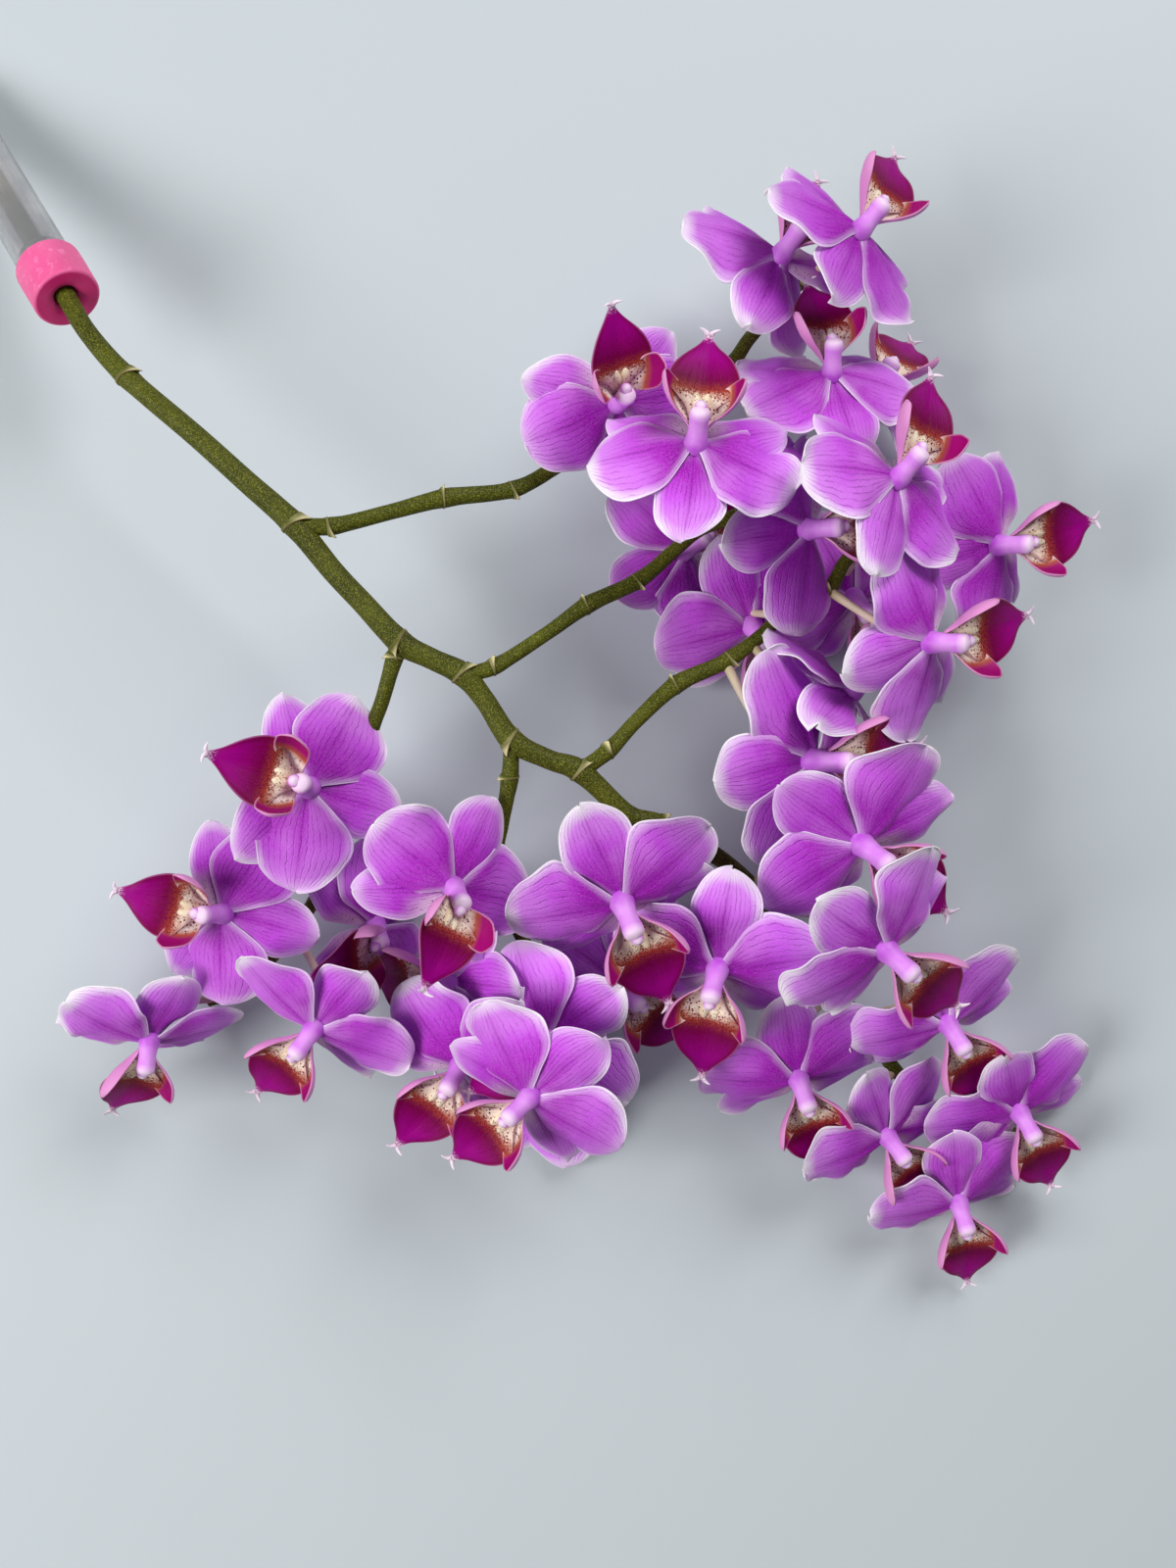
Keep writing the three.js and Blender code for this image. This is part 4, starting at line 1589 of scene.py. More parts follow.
@dataclass(frozen=True)
class Column:
    """The column over the lip and the bloom's middle, as up, forward and radius rows."""

    rows: Rows = (
        (0.6, -1.6, 3.2), (0.3, 0.0, 3.3), (-0.3, 1.7, 2.95), (-1.0, 3.6, 2.6), (-1.8, 5.6, 2.6),
        (-2.5, 7.3, 2.8), (-3.0, 8.6, 2.7), (-3.3, 9.5, 2.0), (-3.5, 10.0, 0.3))
    cap_rows: Rows = (
        (-3.4, 7.6, 0.3), (-4.2, 8.1, 1.5), (-4.8, 8.9, 1.8), (-5.0, 9.8, 1.3), (-5.0, 10.4, 0.2))

    def paths(self) -> list[Array]:
        """Returns place and radius rows along the middle plane, for the column and for its cap."""
        return [smooth(np.array([(0.0, *row) for row in rows]), 0.6) for rows in (self.rows, self.cap_rows)]


@dataclass(frozen=True)
class Pose:
    """Where a bloom is and how it faces."""

    u: float
    v: float
    z: float
    toward: float
    lean: float
    top: float
    size: float
    folds: tuple[float, float, float, float, float] = (0.0, 0.0, 0.0, 0.0, 0.0)

    def axes(self) -> Array:
        """Works out the bloom's own axes.

        Returns:
            Its X, Y and Z as rows, in the part's frame.
        """
        lean, toward, top = math.radians(self.lean), math.radians(self.toward), math.radians(self.top)
        z = np.array([math.sin(lean) * math.cos(toward), math.sin(lean) * math.sin(toward), math.cos(lean)])
        flat = np.array([math.cos(top), math.sin(top), 0.0])
        flat[2] = -float(z @ flat) / max(z[2], 1e-3)
        y = unit(flat)
        return np.array([np.cross(y, z), y, z])

    def move(self, points: Array) -> Array:
        """Moves points from the bloom's frame to the part's, in millimetres."""
        return LAYOUT.place(self.u, self.v, self.z) + (points @ self.axes()) * self.size


POSES: dict[str, Pose] = {
    "01": Pose(630, 410, 54, -40, 30, 284, 0.95),
    "02": Pose(710, 452, 71, 84, 31, 262, 1.0, (0, 0, 0, 0, -5)),
    "03": Pose(797, 260, 46, 45, 48, 252, 1.0, (0, 0, 25, 0, -20)),
    "04": Pose(878, 235, 56, 38, 50, 255, 0.98, (0, 0, 0, -5, 0)),
    "05": Pose(848, 380, 50, 80, 38, 288, 0.93),
    "06": Pose(893, 398, 22.6, 60, 60, 228, 1.0, (-15, 0, 0, 0, 0)),
    "07": Pose(917, 487, 72, 32, 40, 261, 0.98, (0, 0, -5, 0, 0)),
    "08": Pose(825, 540, 51, -8, 44, 198, 1.0, (0, 0, -10, 0, 15)),
    "09": Pose(1020, 556, 44, -18, 37, 204, 0.96),
    "10": Pose(951, 655, 60, -18, 45, 207, 1.0),
    "11": Pose(698, 563, 20, 26, 38, 213, 0.95),
    "12": Pose(768, 640, 22, 300, 36, 112, 1.0, (0, 15, -5, 0, 0)),
    "13": Pose(870, 705, 46, 45, 72, 212, 1.0, (0, -5, 40, 5, 0)),
    "14": Pose(830, 776, 56, -12, 45, 195, 1.12, (0, 10, 5, 30, 0)),
    "15": Pose(880, 862, 58, 318, 38, 144, 1.08, (0, -15, 0, -20, 5)),
    "16": Pose(905, 970, 70, 312, 50, 148, 1.03),
    "17": Pose(967, 1045, 37, 300, 47, 122, 0.97),
    "18": Pose(1040, 1135, 21, 298, 43, 117, 0.96, (-15, 0, 0, 0, -20)),
    "19": Pose(978, 1228, 17, 286, 43, 99, 0.95, (0, 10, -20, 5, 0)),
    "20": Pose(905, 1160, 26, 314, 50, 108, 0.93, (0, 0, -5, -20, 0)),
    "21": Pose(815, 1102, 37, 288, 41, 106, 0.97),
    "22": Pose(732, 990, 54, 243, 36, 88, 1.03, (0, 0, -10, 0, 0)),
    "23": Pose(635, 922, 64, 291, 40, 116, 1.07),
    "24": Pose(632, 1003, 30, 310, 48, 142, 1.0, (0, 0, -20, 0, -5)),
    "25": Pose(560, 1060, 52, 215, 38, 36, 0.96, (0, 0, 0, 5, 0)),
    "26": Pose(540, 1120, 65, 222, 38, 40, 0.96, (0, 0, -5, 0, -10)),
    "27": Pose(552, 1100, 12.21, 180, 20, 0, 1.0, (0, 0, 15, 0, 0)),
    "28": Pose(469, 1088, 42, 250, 30, 48, 0.97, (-10, 5, 0, -5, 0)),
    "29": Pose(320, 1050, 44, 240, 47, 42, 0.98, (0, 0, -10, 0, 0)),
    "30": Pose(152, 1062, 32, 280, 60, 40, 0.96),
    "31": Pose(226, 932, 46, 210, 10, 343, 0.95),
    "32": Pose(314, 803, 61, 5, 16, 342, 1.0),
    "33": Pose(463, 907, 62, 345, 33, 63, 0.96),
    "34": Pose(382, 944, 22.3, 322, 50, 21, 1.0, (0, -5, 0, 0, 0)),
    "35": Pose(458, 1000, 34, 190, 58, 355, 1.0, (0, 10, 0, 0, 0)),
    "36": Pose(872, 612, 20, 300, 30, 120, 1.0, (0, 0, -10, 0, 0)),
}


@dataclass
class Bloom:
    """One bloom: five blades, lip, callus, column, and its stalk down to the stem.

    Foot is where the stalk starts on the stem. Ovary rows, where the stalk joins the bloom, are height and
    radius. Jitter is the usual chance error of a blade's angles, in degrees, and clearance is the least
    height of a blade over the floor.
    """

    number: str
    pose: Pose
    foot: Array
    dorsal: Tepal = Tepal(28, 9.2, 0.6, 0.85, 0.55, 2.8, 6, -0.8, cup=2.4, wave=0.75)
    petal: Tepal = Tepal(28.5, 13.2, 0.53, 1.0, 0.42, 2.2, 8, 0.5, cup=3.2, wave=1.3, skew=-0.09)
    lateral: Tepal = Tepal(27, 8.6, 0.52, 0.85, 0.58, 2.8, 8, -1.2, cup=2.4, wave=0.9)
    lip: Lip = Lip()
    column: Column = Column()
    fold: float = 10.0
    petal_angle: float = 78.0
    lateral_angle: float = 119.0
    stalk_radius: float = 1.15
    stalk_bow: float = 0.22
    stalk_swell: float = 0.35
    stalk_step: float = 1.6
    ovary: Rows = ((0.4, 2.7), (-2.4, 2.1), (-4.8, 1.75), (-7.0, 1.4))
    jitter: float = 1.4
    tendril_start: float = 0.93
    clearance: float = 0.6

    def stalk(self) -> Array:
        """Makes the stalk from behind the bloom to its stem.

        Returns:
            Place and radius rows.
        """
        back = [self.pose.move(np.array([0.0, 0.0, z])) for z, _ in self.ovary]
        rows = [[*place, radius * self.pose.size] for place, (_, radius) in zip(back, self.ovary)]
        far = float(np.linalg.norm(back[-1] - self.foot))
        behind = self.pose.move(np.array([0.0, 0.0, self.ovary[-1][0] - self.stalk_bow * far]))
        for share in (0.2, 0.4, 0.6, 0.8, 1.0):
            swell = self.stalk_swell * ease(np.array(share), 0.75, 1.0)
            rows.append([*arc(back[-1], behind, self.foot, share), self.stalk_radius + float(swell)])
        return smooth(np.array(rows), self.stalk_step)

    def round_parts(self, rows: list[Array]) -> list[Array]:
        """Moves place and radius rows from the bloom's frame to the part's."""
        return [np.column_stack([self.pose.move(path[:, :3]), path[:, 3] * self.pose.size]) for path in rows]

    def build(self, palette: Palette, sweep: RoundSweep) -> Object:
        """Builds the bloom as one piece.

        Args:
            palette: The finishes.
            sweep: The tree that sweeps its round parts.

        Returns:
            The piece, standing for its solid.
        """
        rng = np.random.default_rng(1000 + int(self.number))
        folds = [self.fold + extra for extra in self.pose.folds]
        shell = Shell()
        blades = [
            (self.dorsal, 0.0, folds[0], Part.PETAL),
            (self.lateral, self.lateral_angle, folds[3], Part.SEPAL),
            (self.lateral, -self.lateral_angle, folds[4], Part.SEPAL),
            (self.petal, self.petal_angle, folds[1], Part.PETAL),
            (self.petal, -self.petal_angle, folds[2], Part.PETAL),
        ]
        for form, angle, fold, part in blades:
            turned = angle + rng.normal(0.0, self.jitter)
            sheet = form.sheet(turned, fold + rng.normal(0.0, self.jitter), rng)
            self.add_blade(shell, sheet, part)
        self.add_blade(shell, self.lip.middle_lobe(), Part.LIP)
        for sign in (1, -1):
            self.add_blade(shell, self.lip.side_lobe(sign), Part.SIDE_LOBE)
        round_bodies = (
            (Part.LIP, self.round_parts(self.lip.tendrils()), 8, self.tendril_start),
            (Part.CALLUS, self.round_parts(self.lip.callus()), 12, 0.0),
            (Part.COLUMN, self.round_parts(self.column.paths()), 20, 0.0),
            (Part.STALK, [self.stalk()], 14, 0.0),
        )
        for part, paths, sides, start in round_bodies:
            shell.add_mesh(sweep.sweep(paths, sides, palette.bloom[part.value]), part.value, start)
        piece = shell.build(f"bloom_{self.number}_fine", palette.bloom, float(rng.uniform()))
        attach(piece, "root")
        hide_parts(f"bloom_{self.number}")
        return piece

    def add_blade(self, shell: Shell, sheet: Sheet, part: Part) -> None:
        """Moves a blade to its place, clear of the floor, and adds it to the bloom.

        Args:
            shell: The bloom's shell.
            sheet: The blade, in the bloom's own frame.
            part: Its finish.
        """
        rows, columns = sheet.middle.shape[:2]
        sheet.middle = self.pose.move(sheet.middle.reshape(-1, 3)).reshape(rows, columns, 3)
        sheet.middle[..., 2] = np.maximum(sheet.middle[..., 2], self.clearance)
        shell.add_sheet(sheet, part.value)


# ---- Stem ----

@dataclass(frozen=True)
class Holder:
    """The water tube, its cap and the water: sizes in millimetres, along the tube's axis."""

    front: tuple[float, float, float] = (69.0, 305.0, 46.5)
    climb: float = 24.0
    compass: float = -56.0
    cap_radius: float = 9.6
    cap_length: float = 14.5
    cap_face: float = 3.5
    hole_radius: float = 3.4
    funnel_radius: float = 5.4
    funnel_depth: float = 1.4
    tube_radius: float = 7.9
    tube_wall: float = 1.2
    gap: float = 0.3
    dip: float = 60.0
    flat_cut: float = 0.35
    stem_end_radius: float = 2.8
    axis_radius: float = 0.001
    sides: int = 72

    def axis(self) -> Array:
        """Works out the tube's direction.

        Returns:
            The unit vector from its round end to the cap's front.
        """
        climb, compass = math.radians(self.climb), math.radians(self.compass)
        flat = math.cos(climb)
        return np.array([flat * math.cos(compass), flat * math.sin(compass), math.sin(climb)])

    def behind(self, back: float) -> Array:
        """Returns the point on the axis behind the cap's front."""
        return LAYOUT.place(*self.front) - self.axis() * back

    def reach(self) -> float:
        """Returns how far behind the cap's front the round end's middle lies."""
        return (self.front[2] - (self.tube_radius - self.flat_cut)) / float(self.axis()[2])

    def turned(self, profile: Profile) -> tuple[Array, Array]:
        """Turns a closed profile about the axis.

        Args:
            profile: Radius and distance behind the cap's front, round the section once.

        Returns:
            The points, and the quads.
        """
        rows = np.array(profile)
        axis = self.axis()
        side = unit(np.cross(axis, np.array([0.0, 0.0, 1.0])))
        up = np.cross(side, axis)
        turn = np.linspace(0.0, 2 * math.pi, self.sides, endpoint=False)
        arms = np.cos(turn)[:, None] * side + np.sin(turn)[:, None] * up
        radii = np.maximum(rows[:, 0], self.axis_radius)[:, None, None]
        points = LAYOUT.place(*self.front) - rows[:, 1][:, None, None] * axis + radii * arms[None, :, :]
        count = len(rows)
        number = np.arange(count * self.sides).reshape(count, self.sides)
        after = np.roll(number, -1, axis=0)
        quads = np.stack([number, np.roll(number, -1, axis=1), np.roll(after, -1, axis=1), after], -1)
        return points.reshape(-1, 3), quads.reshape(-1, 4)

    def piece(self, name: str, profile: Profile, finish: Material,
              node: str, slot: Slot) -> Object:
        """Makes a turned piece that stands for a solid.

        Args:
            name: The piece's name.
            profile: Its section.
            finish: The material.
            node: The solid that it replaces.
            slot: The record's material slot; not used.

        Returns:
            The piece.
        """
        points, quads = self.turned(profile)
        points[:, 2] = np.maximum(points[:, 2], 0.0)
        mesh = bpy.data.meshes.new(name)
        mesh.from_pydata((points * METRE).tolist(), [], quads.tolist())
        # The cap's outer side is marked for the rubber finish: painted light that makes it paler, and
        # scratches of wear.
        outside = np.array(profile)[:, 0] > self.tube_radius + 1.0
        carry(mesh, "lit_side_and_wear", np.repeat(outside, self.sides))
        made = add_object(name, mesh)
        tidy_mesh(mesh)
        mesh.materials.append(finish)
        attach(made, "root")
        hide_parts(node)
        return made

    @staticmethod
    def round_end(radius: float, steps: int, reach: float) -> Profile:
        """Rounds off a closed end with a half ball.

        Args:
            radius: Its radius.
            steps: How many steps it has.
            reach: How far back its middle lies.

        Returns:
            The profile from its edge to its pole.
        """
        turns = [k / steps * math.pi / 2 for k in range(steps + 1)]
        return [(radius * math.cos(turn) if k < steps else 0.0, reach + radius * math.sin(turn))
                for k, turn in enumerate(turns)]

    @staticmethod
    def rounded(corner: tuple[float, float], start: tuple[float, float], end: tuple[float, float],
                steps: int = 5) -> Profile:
        """Returns a soft corner from start to end round the corner point."""
        points = [np.array(point) for point in (start, corner, end)]
        return [tuple(arc(*points, k / steps)) for k in range(steps + 1)]

    def build(self, palette: Palette) -> None:
        """Builds the cap, the tube and the water.

        Args:
            palette: The finishes.
        """
        rim, length = self.cap_radius, self.cap_length
        hole, funnel = self.hole_radius, self.funnel_radius
        skirt = self.tube_radius + self.gap
        cap = [
            (hole, self.cap_face), (hole, 2.0),
            *self.rounded((hole, self.funnel_depth), (hole, 1.9), (4.0, 0.9)),
            *self.rounded((funnel, 0.0), (funnel - 0.8, 0.45), (funnel + 0.7, 0.0)),
            *self.rounded((rim, 0.0), (rim - 0.9, 0.0), (rim, 0.9)),
            (rim, 5.0), (rim + 0.05, 10.0),
            *self.rounded((rim, length), (rim, length - 0.7), (rim - 0.7, length)),
            (skirt, length), (skirt, length - 1.0), (skirt, self.cap_face + 1.0),
            (skirt, self.cap_face),
        ]
        self.piece("cap", cap, palette.rubber, "tube_cap", Slot.CAP)
        outer, inner = self.tube_radius, self.tube_radius - self.tube_wall
        mouth, reach = self.cap_face + self.gap, self.reach()
        tube = [
            (inner, mouth), (outer, mouth), (outer, 12.0), (outer, 50.0),
            *self.round_end(outer, 14, reach), *reversed(self.round_end(inner, 14, reach)),
            (inner, 50.0), (inner, 12.0),
        ]
        self.piece("clear_tube", tube, palette.plastic, "water_tube", Slot.TUBE)
        wet = inner - self.gap
        top = length + 4.0
        stem, end = self.stem_end_radius + self.gap, self.dip + self.gap
        water = [
            (stem, top), (wet - 0.6, top), (wet, top + 0.5), (wet, 50.0),
            *self.round_end(wet, 12, reach), (0.0, end), (stem, end), (stem, 40.0),
        ]
        self.piece("tube_water", water, palette.water, "water", Slot.WATER)


def tidy_mesh(mesh: Mesh, double: float = 0.00001, crisp: float = 38.0) -> None:
    """Merges doubles, turns the faces outward and shades a mesh smooth with crisp edges.

    Args:
        mesh: The mesh, changed in place.
        double: How near points count as one, in metres.
        crisp: The least angle of a crisp edge, in degrees.
    """
    work = bmesh.new()
    work.from_mesh(mesh)
    bmesh.ops.remove_doubles(work, verts=work.verts, dist=double)
    bmesh.ops.dissolve_degenerate(work, edges=work.edges, dist=double / 10)
    bmesh.ops.recalc_face_normals(work, faces=work.faces)
    for edge in work.edges:
        edge.smooth = not edge.is_manifold or edge.calc_face_angle() < math.radians(crisp)
    for face in work.faces:
        face.smooth = True
    work.to_mesh(mesh)
    work.free()


@dataclass(frozen=True)
class Joint:
    """A joint of the stem with its scale: where it is on the layout, and the compass direction it faces."""

    u: float
    v: float
    facing: float
    size: float = 1.0


@dataclass
class Stem:
    """The main stem with its side branches, their joints and scales.

    Stations are u, v, height and radius. The dip stations are how far behind the cap's front the main stem
    passes, and held points are those of its path at its start that carry no bloom.
    """

    holder: Holder
    main: Rows = (
        (90, 340, 51, 2.7), (130, 385, 54, 2.9), (200, 445, 56, 3.0), (250, 490, 56.5, 3.1),
        (300, 535, 56, 3.3), (340, 583, 55, 3.1), (370, 615, 55, 3.1), (408, 655, 54, 3.3),
        (440, 672, 53.5, 3.0), (472, 688, 53, 3.2), (495, 715, 52, 2.9), (522, 755, 51, 3.1),
        (560, 775, 50, 2.8), (592, 787, 49, 3.1), (640, 830, 46, 2.7), (675, 842, 44, 2.7),
        (740, 880, 38, 2.5), (790, 930, 32, 2.4), (870, 1032, 21, 2.2), (918, 1097, 14, 2.1),
        (957, 1132, 11, 2.0), (1030, 1155, 7, 1.8), (1085, 1170, 5, 1.6))
    branches: dict[str, Rows] = field(default_factory=lambda: {
        "upper": ((300, 535, 56, 2.4), (338, 537, 55, 2.3), (400, 522, 52, 2.2), (455, 508, 49, 2.5),
                  (525, 499, 45, 2.2), (575, 472, 41, 2.1), (620, 450, 38, 2.1), (680, 420, 34, 2.0),
                  (742, 375, 31, 2.1), (765, 345, 30, 2.0), (800, 305, 28, 1.9), (825, 283, 27, 1.8),
                  (850, 262, 26, 1.6)),
        "middle": ((472, 688, 53, 2.2), (505, 680, 52, 2.1), (560, 645, 49, 2.0), (600, 617, 46, 2.3),
                   (652, 592, 43, 2.2), (690, 560, 41, 2.0), (715, 540, 39, 2.0), (752, 525, 37, 2.0),
                   (800, 490, 34, 1.9), (850, 440, 30, 1.8), (880, 400, 27, 1.6)),
        "right": ((592, 787, 49, 2.3), (622, 765, 48, 2.2), (650, 735, 46, 2.1), (691, 698, 44, 2.4),
                  (740, 675, 42, 2.2), (775, 650, 41, 2.0), (805, 622, 40, 2.0), (845, 602, 38, 2.1),
                  (865, 570, 36, 1.9), (900, 550, 35, 1.6)),
        "lower": ((408, 655, 54, 2.2), (400, 680, 53, 2.2), (390, 715, 50, 2.1), (378, 750, 47, 2.1),
                  (360, 830, 38, 2.0), (330, 900, 32, 1.9), (300, 950, 28, 1.9), (250, 1005, 23, 1.8),
                  (213, 1022, 21, 1.6)),
        "inner": ((522, 755, 51, 2.2), (520, 795, 49, 2.3), (512, 840, 45, 2.1), (508, 875, 42, 2.1),
                  (525, 940, 36, 2.0), (545, 982, 32, 1.9), (552, 1030, 29, 1.7)),
    })
    joints: tuple[Joint, ...] = (
        Joint(130, 385, 60), Joint(300, 535, 20), Joint(408, 655, 250), Joint(472, 688, 40, 0.8),
        Joint(522, 755, 255, 0.9), Joint(592, 787, 45, 0.8), Joint(338, 537, 250, 0.6),
        Joint(455, 508, 95, 0.4), Joint(525, 499, 280, 0.4), Joint(505, 680, 60, 0.6),
        Joint(600, 617, 120, 0.35),
        Joint(652, 592, 300, 0.3), Joint(404, 672, 200, 0.5), Joint(622, 765, 60, 0.6),
        Joint(691, 698, 130, 0.3), Joint(520, 795, 170, 0.5), Joint(752, 675, 300, 0.5),
        Joint(742, 375, 100, 0.5), Joint(845, 602, 60, 0.5), Joint(675, 842, 60, 0.6))
    step: float = 2.0
    search_step: float = 17.0
    sides: int = 28
    root_reach: float = 16.0
    held_points: int = 8
    dip_stations: tuple[float, ...] = (26.0, 8.0, 0.0)
    swelling: float = 0.28
    swelling_reach: float = 2.6
    joint_reach: float = 4.0
    scale_drop: float = 1.2
    scale_thick: float = 0.06

    def stations(self, rows: Rows) -> list[list[float]]:
        """Turns layout stations into place and radius rows."""
        return [[*LAYOUT.place(u, v, z), radius] for u, v, z, radius in rows]

    def paths(self, step: float) -> dict[str, Array]:
        """Runs every stem through its stations.

        Args:
            step: The distance between points, in millimetres.

        Returns:
            Place and radius rows, by the stems' names.
        """
        radius = self.holder.stem_end_radius
        dipped = [[*self.holder.behind(back), radius] for back in (self.holder.dip, *self.dip_stations)]
        made = {"main": smooth(np.array(dipped + self.stations(self.main)), step)}
        for name, rows in self.branches.items():
            made[name] = smooth(np.array(self.stations(rows)), step)
        return made

    def root_of(self, pose: Pose, paths: dict[str, Array]) -> Array:
        """Returns the place on a stem where a bloom's stalk starts.

        Args:
            pose: The bloom's pose.
            paths: The stems as their solids have them.

        Returns:
            The nearest place to a point a little behind the bloom.
        """
        target = pose.move(np.array([0.0, 0.0, -self.root_reach]))
        best, place = math.inf, target
        for name, path in paths.items():
            for index in range(self.held_points if name == "main" else 0, len(path) - 1):
                for share in (0.0, 0.25, 0.5, 0.75):
                    spot = (path[index] + (path[index + 1] - path[index]) * share)[:3]
                    far = float(np.linalg.norm(spot - target))
                    if far < best:
                        best, place = far, spot
        return place

    def build(self, palette: Palette, sweep: RoundSweep, scatter: Scatter) -> None:
        """Builds the stem's skin and its scales.

        Args:
            palette: The finishes.
            sweep: The tree that sweeps the stems.
            scatter: The tree that sets the scales.
        """
        paths = self.paths(self.step)
        for path in paths.values():
            self.swell(path)
        shell = Shell()
        shell.add_mesh(sweep.sweep(list(paths.values()), self.sides, palette.stem), 0)
        skin = shell.build("stem_skin", [palette.stem])
        tidy_mesh(skin.data)
        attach(skin, "root")
        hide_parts("flower_stem")
        scales = self.scales(paths, palette, scatter)
        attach(scales, "root")

    def swell(self, path: Array) -> None:
        """Thickens a path a little at every joint that lies on it.

        Args:
            path: Its rows, changed in place.
        """
        for joint in self.joints:
            centre = self.nearest(path, joint)
            far = np.linalg.norm(path[:, :3] - path[centre, :3], axis=1)
            if self.offset(path[centre], joint) < self.joint_reach:
                path[:, 3] += self.swelling * np.exp(-(far / self.swelling_reach) ** 2)

    def nearest(self, path: Array, joint: Joint) -> int:
        """Returns the number of the path's point that lies under the joint on the layout."""
        return int(np.argmin([self.offset(row, joint) for row in path]))

    @staticmethod
    def offset(row: Array, joint: Joint) -> float:
        """Returns the distance of a path point from the joint's place at its height."""
        return float(np.linalg.norm(row[:3] - LAYOUT.place(joint.u, joint.v, row[2])))

    def scales(self, paths: dict[str, Array], palette: Palette, scatter: Scatter) -> Object:
        """Makes the scales that clasp the stem at its joints.

        Args:
            paths: The stems.
            palette: The finishes.
            scatter: The tree that sets the scales.

        Returns:
            All scales as one piece.
        """
        places, turns, sizes = [], [], []
        for joint in self.joints:
            spots = [(path, self.nearest(path, joint)) for path in paths.values()]
            path, index = min(spots, key=lambda spot: self.offset(spot[0][spot[1]], joint))
            before, after = path[max(index - 2, 0)], path[min(index + 2, len(path) - 1)]
            along = Vector(unit(after[:3] - before[:3]))
            compass = math.radians(joint.facing)
            facing = Vector((math.cos(compass), math.sin(compass), 0.35))
            side = (facing - along * facing.dot(along)).normalized()
            turn = Matrix((side, along.cross(side), along)).transposed().to_euler()
            radius = path[index, 3]
            places.append(path[index, :3] - np.array(along) * self.scale_drop)
            turns.append(tuple(turn))
            sizes.append((radius, radius, joint.size))
        pattern = self.scale_pattern(palette)
        rows = [np.array(numbers) for numbers in (places, turns, sizes)]
        mesh = scatter.scatter(pattern, *rows, palette.bract)
        bpy.data.objects.remove(pattern)
        shell = Shell()
        shell.add_mesh(mesh, 0)
        return shell.build("stem_scales", [palette.bract])

    def scale_pattern(self, palette: Palette) -> Object:
        """Makes one scale round a stem of radius one, its point on +X, growing along +Z.

        Args:
            palette: The finishes.

        Returns:
            The scale.
        """
        turn = np.linspace(-math.pi, math.pi, 33)
        height = np.linspace(0.0, 1.0, 9)
        share_h, share_t = np.meshgrid(height, turn, indexing="ij")
        collar, point = 0.9, 3.0
        tall = collar + point * np.exp(-(np.abs(share_t) / 0.75) ** 1.3)
        flare = 1.03 + 0.06 * np.sin(math.pi * np.minimum(share_h, 0.6)) * np.exp(-share_t ** 2 / 2)
        middle = np.stack([flare * np.cos(share_t), flare * np.sin(share_t), share_h * tall], -1)
        middle[..., 0] += 0.3 * share_h ** 2 * np.exp(-(share_t / 0.6) ** 2)
        edge = (1.0 - share_h) * tall
        leaf = leaf_numbers(share_t / math.pi, share_h * tall / (collar + point), edge)
        shell = Shell()
        thick = np.full(edge.shape, self.scale_thick)
        shell.add_sheet(Sheet(middle[:, ::-1], thick, leaf[:, ::-1]), 0)
        return shell.build("scale_pattern", [palette.bract])


# ---- Stage ----

@dataclass(frozen=True)
class Lamp:
    """A square soft light aimed at the part: where it hangs and its side in metres, its power in watts."""

    name: str
    place: tuple[float, float, float]
    power: float
    colour: tuple[float, float, float] = (1.0, 1.0, 1.0)
    side: float = 0.8

    def build(self) -> None:
        """Adds the light."""
        data = bpy.data.lights.new(self.name, "AREA")
        data.size = self.side
        data.energy = self.power
        data.color = self.colour
        made = add_object(self.name, data)
        made.location = self.place
        made.rotation_euler = (-Vector(self.place)).to_track_quat("-Z", "Y").to_euler()


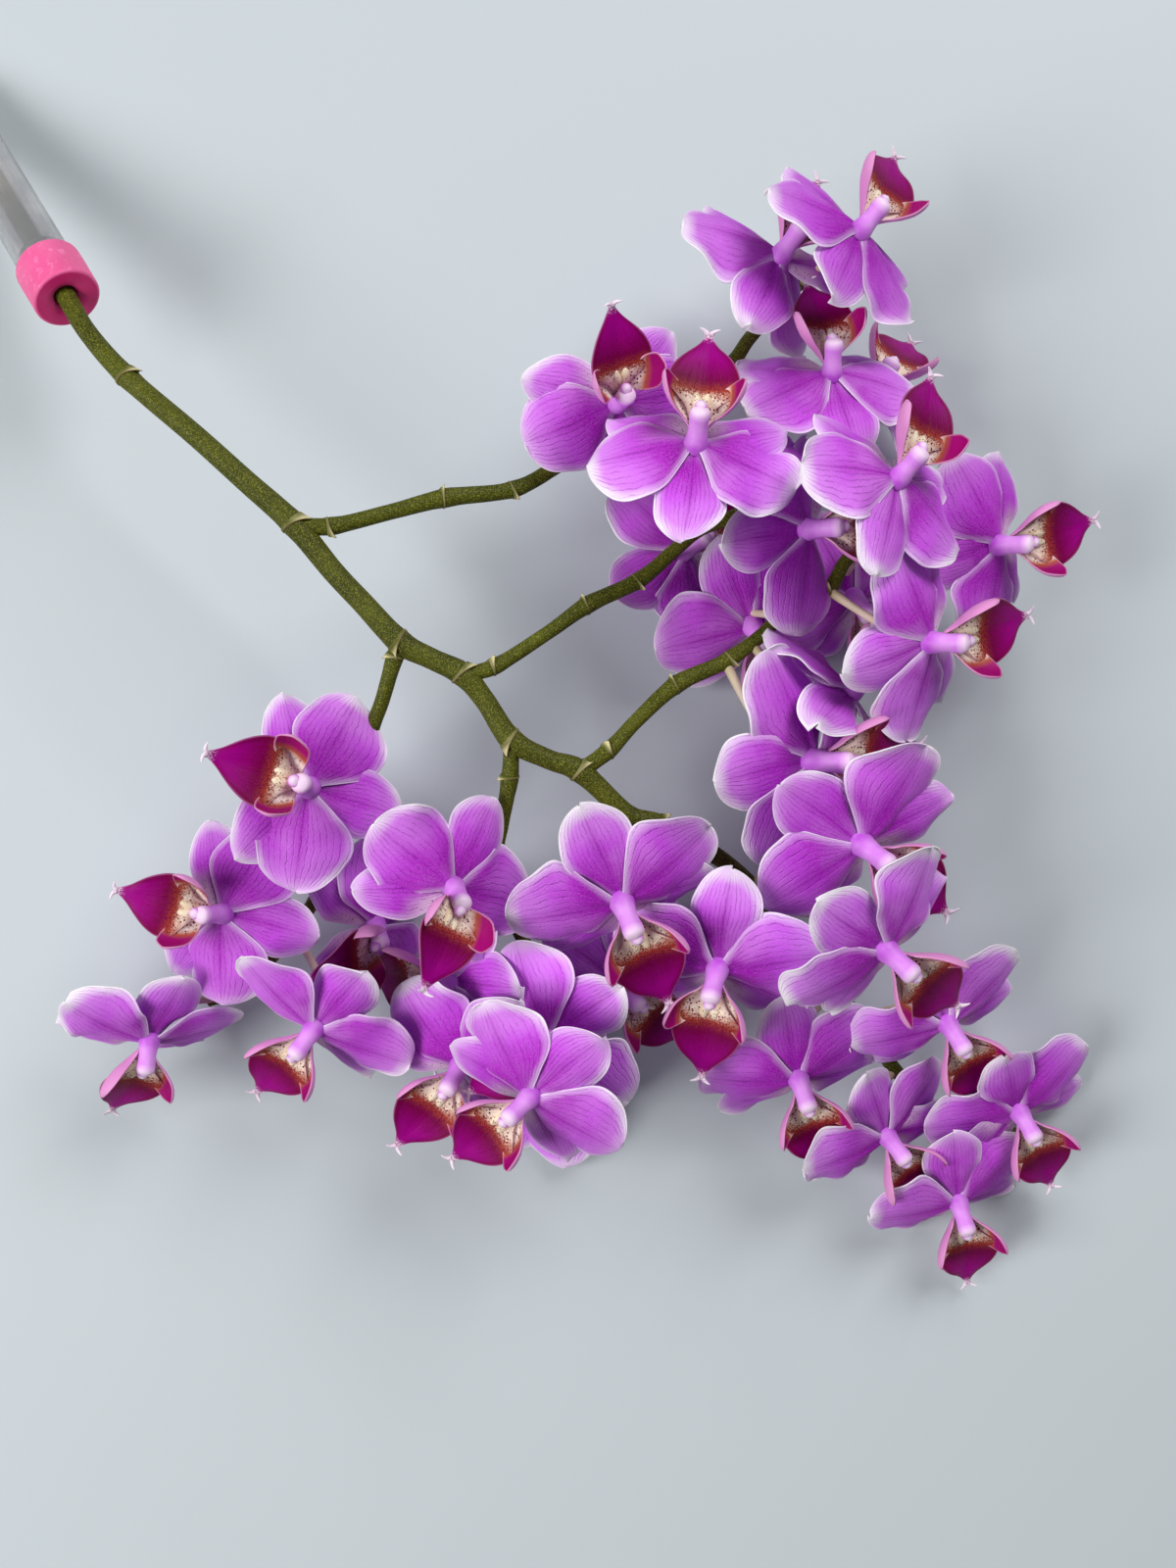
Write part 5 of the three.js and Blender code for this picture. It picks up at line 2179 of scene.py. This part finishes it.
@dataclass(frozen=True)
class Stage:
    """The pale floor, the soft lights and the camera straight above. Floor sizes are in metres."""

    floor_size: float = 6.0
    floor_drop: float = 0.0004
    lamps: tuple[Lamp, ...] = (Lamp("left", (-1.0, -0.25, 1.1), 17.9, (1.0, 1.0, 0.99)),
                               Lamp("right", (0.65, 1.0, 1.15), 17.3))
    room: Colour = (0.92, 0.96, 1.0, 1.0)
    room_strength: float = 0.14
    lens: float = 37.26
    sensor: float = 36.0
    nearest: float = 0.01

    def build(self, palette: Palette) -> None:
        """Builds floor, lights, room light and camera.

        Args:
            palette: The finishes.
        """
        self.floor(palette.floor)
        for lamp in self.lamps:
            lamp.build()
        world = bpy.data.worlds.new("room")
        world.use_nodes = True
        background = world.node_tree.nodes["Background"].inputs
        background["Color"].default_value = self.room
        background["Strength"].default_value = self.room_strength
        bpy.context.scene.world = world
        bpy.context.scene.view_settings.view_transform = "Standard"
        self.camera()

    def floor(self, finish: Material) -> None:
        """Adds the floor, a hair below the part's lowest points.

        Args:
            finish: Its material.
        """
        half, height = self.floor_size / 2, -self.floor_drop
        mesh = bpy.data.meshes.new("floor")
        mesh.from_pydata([(-half, -half, height), (half, -half, height), (half, half, height),
                          (-half, half, height)], [], [(0, 1, 2, 3)])
        mesh.materials.append(finish)
        floor = add_object("floor", mesh)

    def camera(self) -> None:
        """Adds the camera straight above the layout's middle, looking down."""
        data = bpy.data.cameras.new("camera")
        data.sensor_width = self.sensor
        data.lens = self.lens
        data.clip_start = self.nearest
        made = add_object("camera", data)
        made.location = Vector((*LAYOUT.shift[:2], LAYOUT.eye_height)) * METRE
        bpy.context.scene.camera = made


def main() -> None:
    """Builds every piece in order."""
    logging.basicConfig(level=logging.INFO, format="%(name)s: %(message)s")
    palette = Palette()
    sweep, scatter = RoundSweep(), Scatter()
    Stage().build(palette)
    LOG.info("stage built")
    holder = Holder()
    holder.build(palette)
    LOG.info("water tube, cap and water built")
    stem = Stem(holder)
    stem.build(palette, sweep, scatter)
    LOG.info("stem built")
    rough_paths = stem.paths(stem.search_step)
    for number, pose in POSES.items():
        piece = Bloom(number, pose, stem.root_of(pose, rough_paths)).build(palette, sweep)
        LOG.info("%s built with %d faces", piece.name, len(piece.data.polygons))
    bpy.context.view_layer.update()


if __name__ == "__main__":
    main()
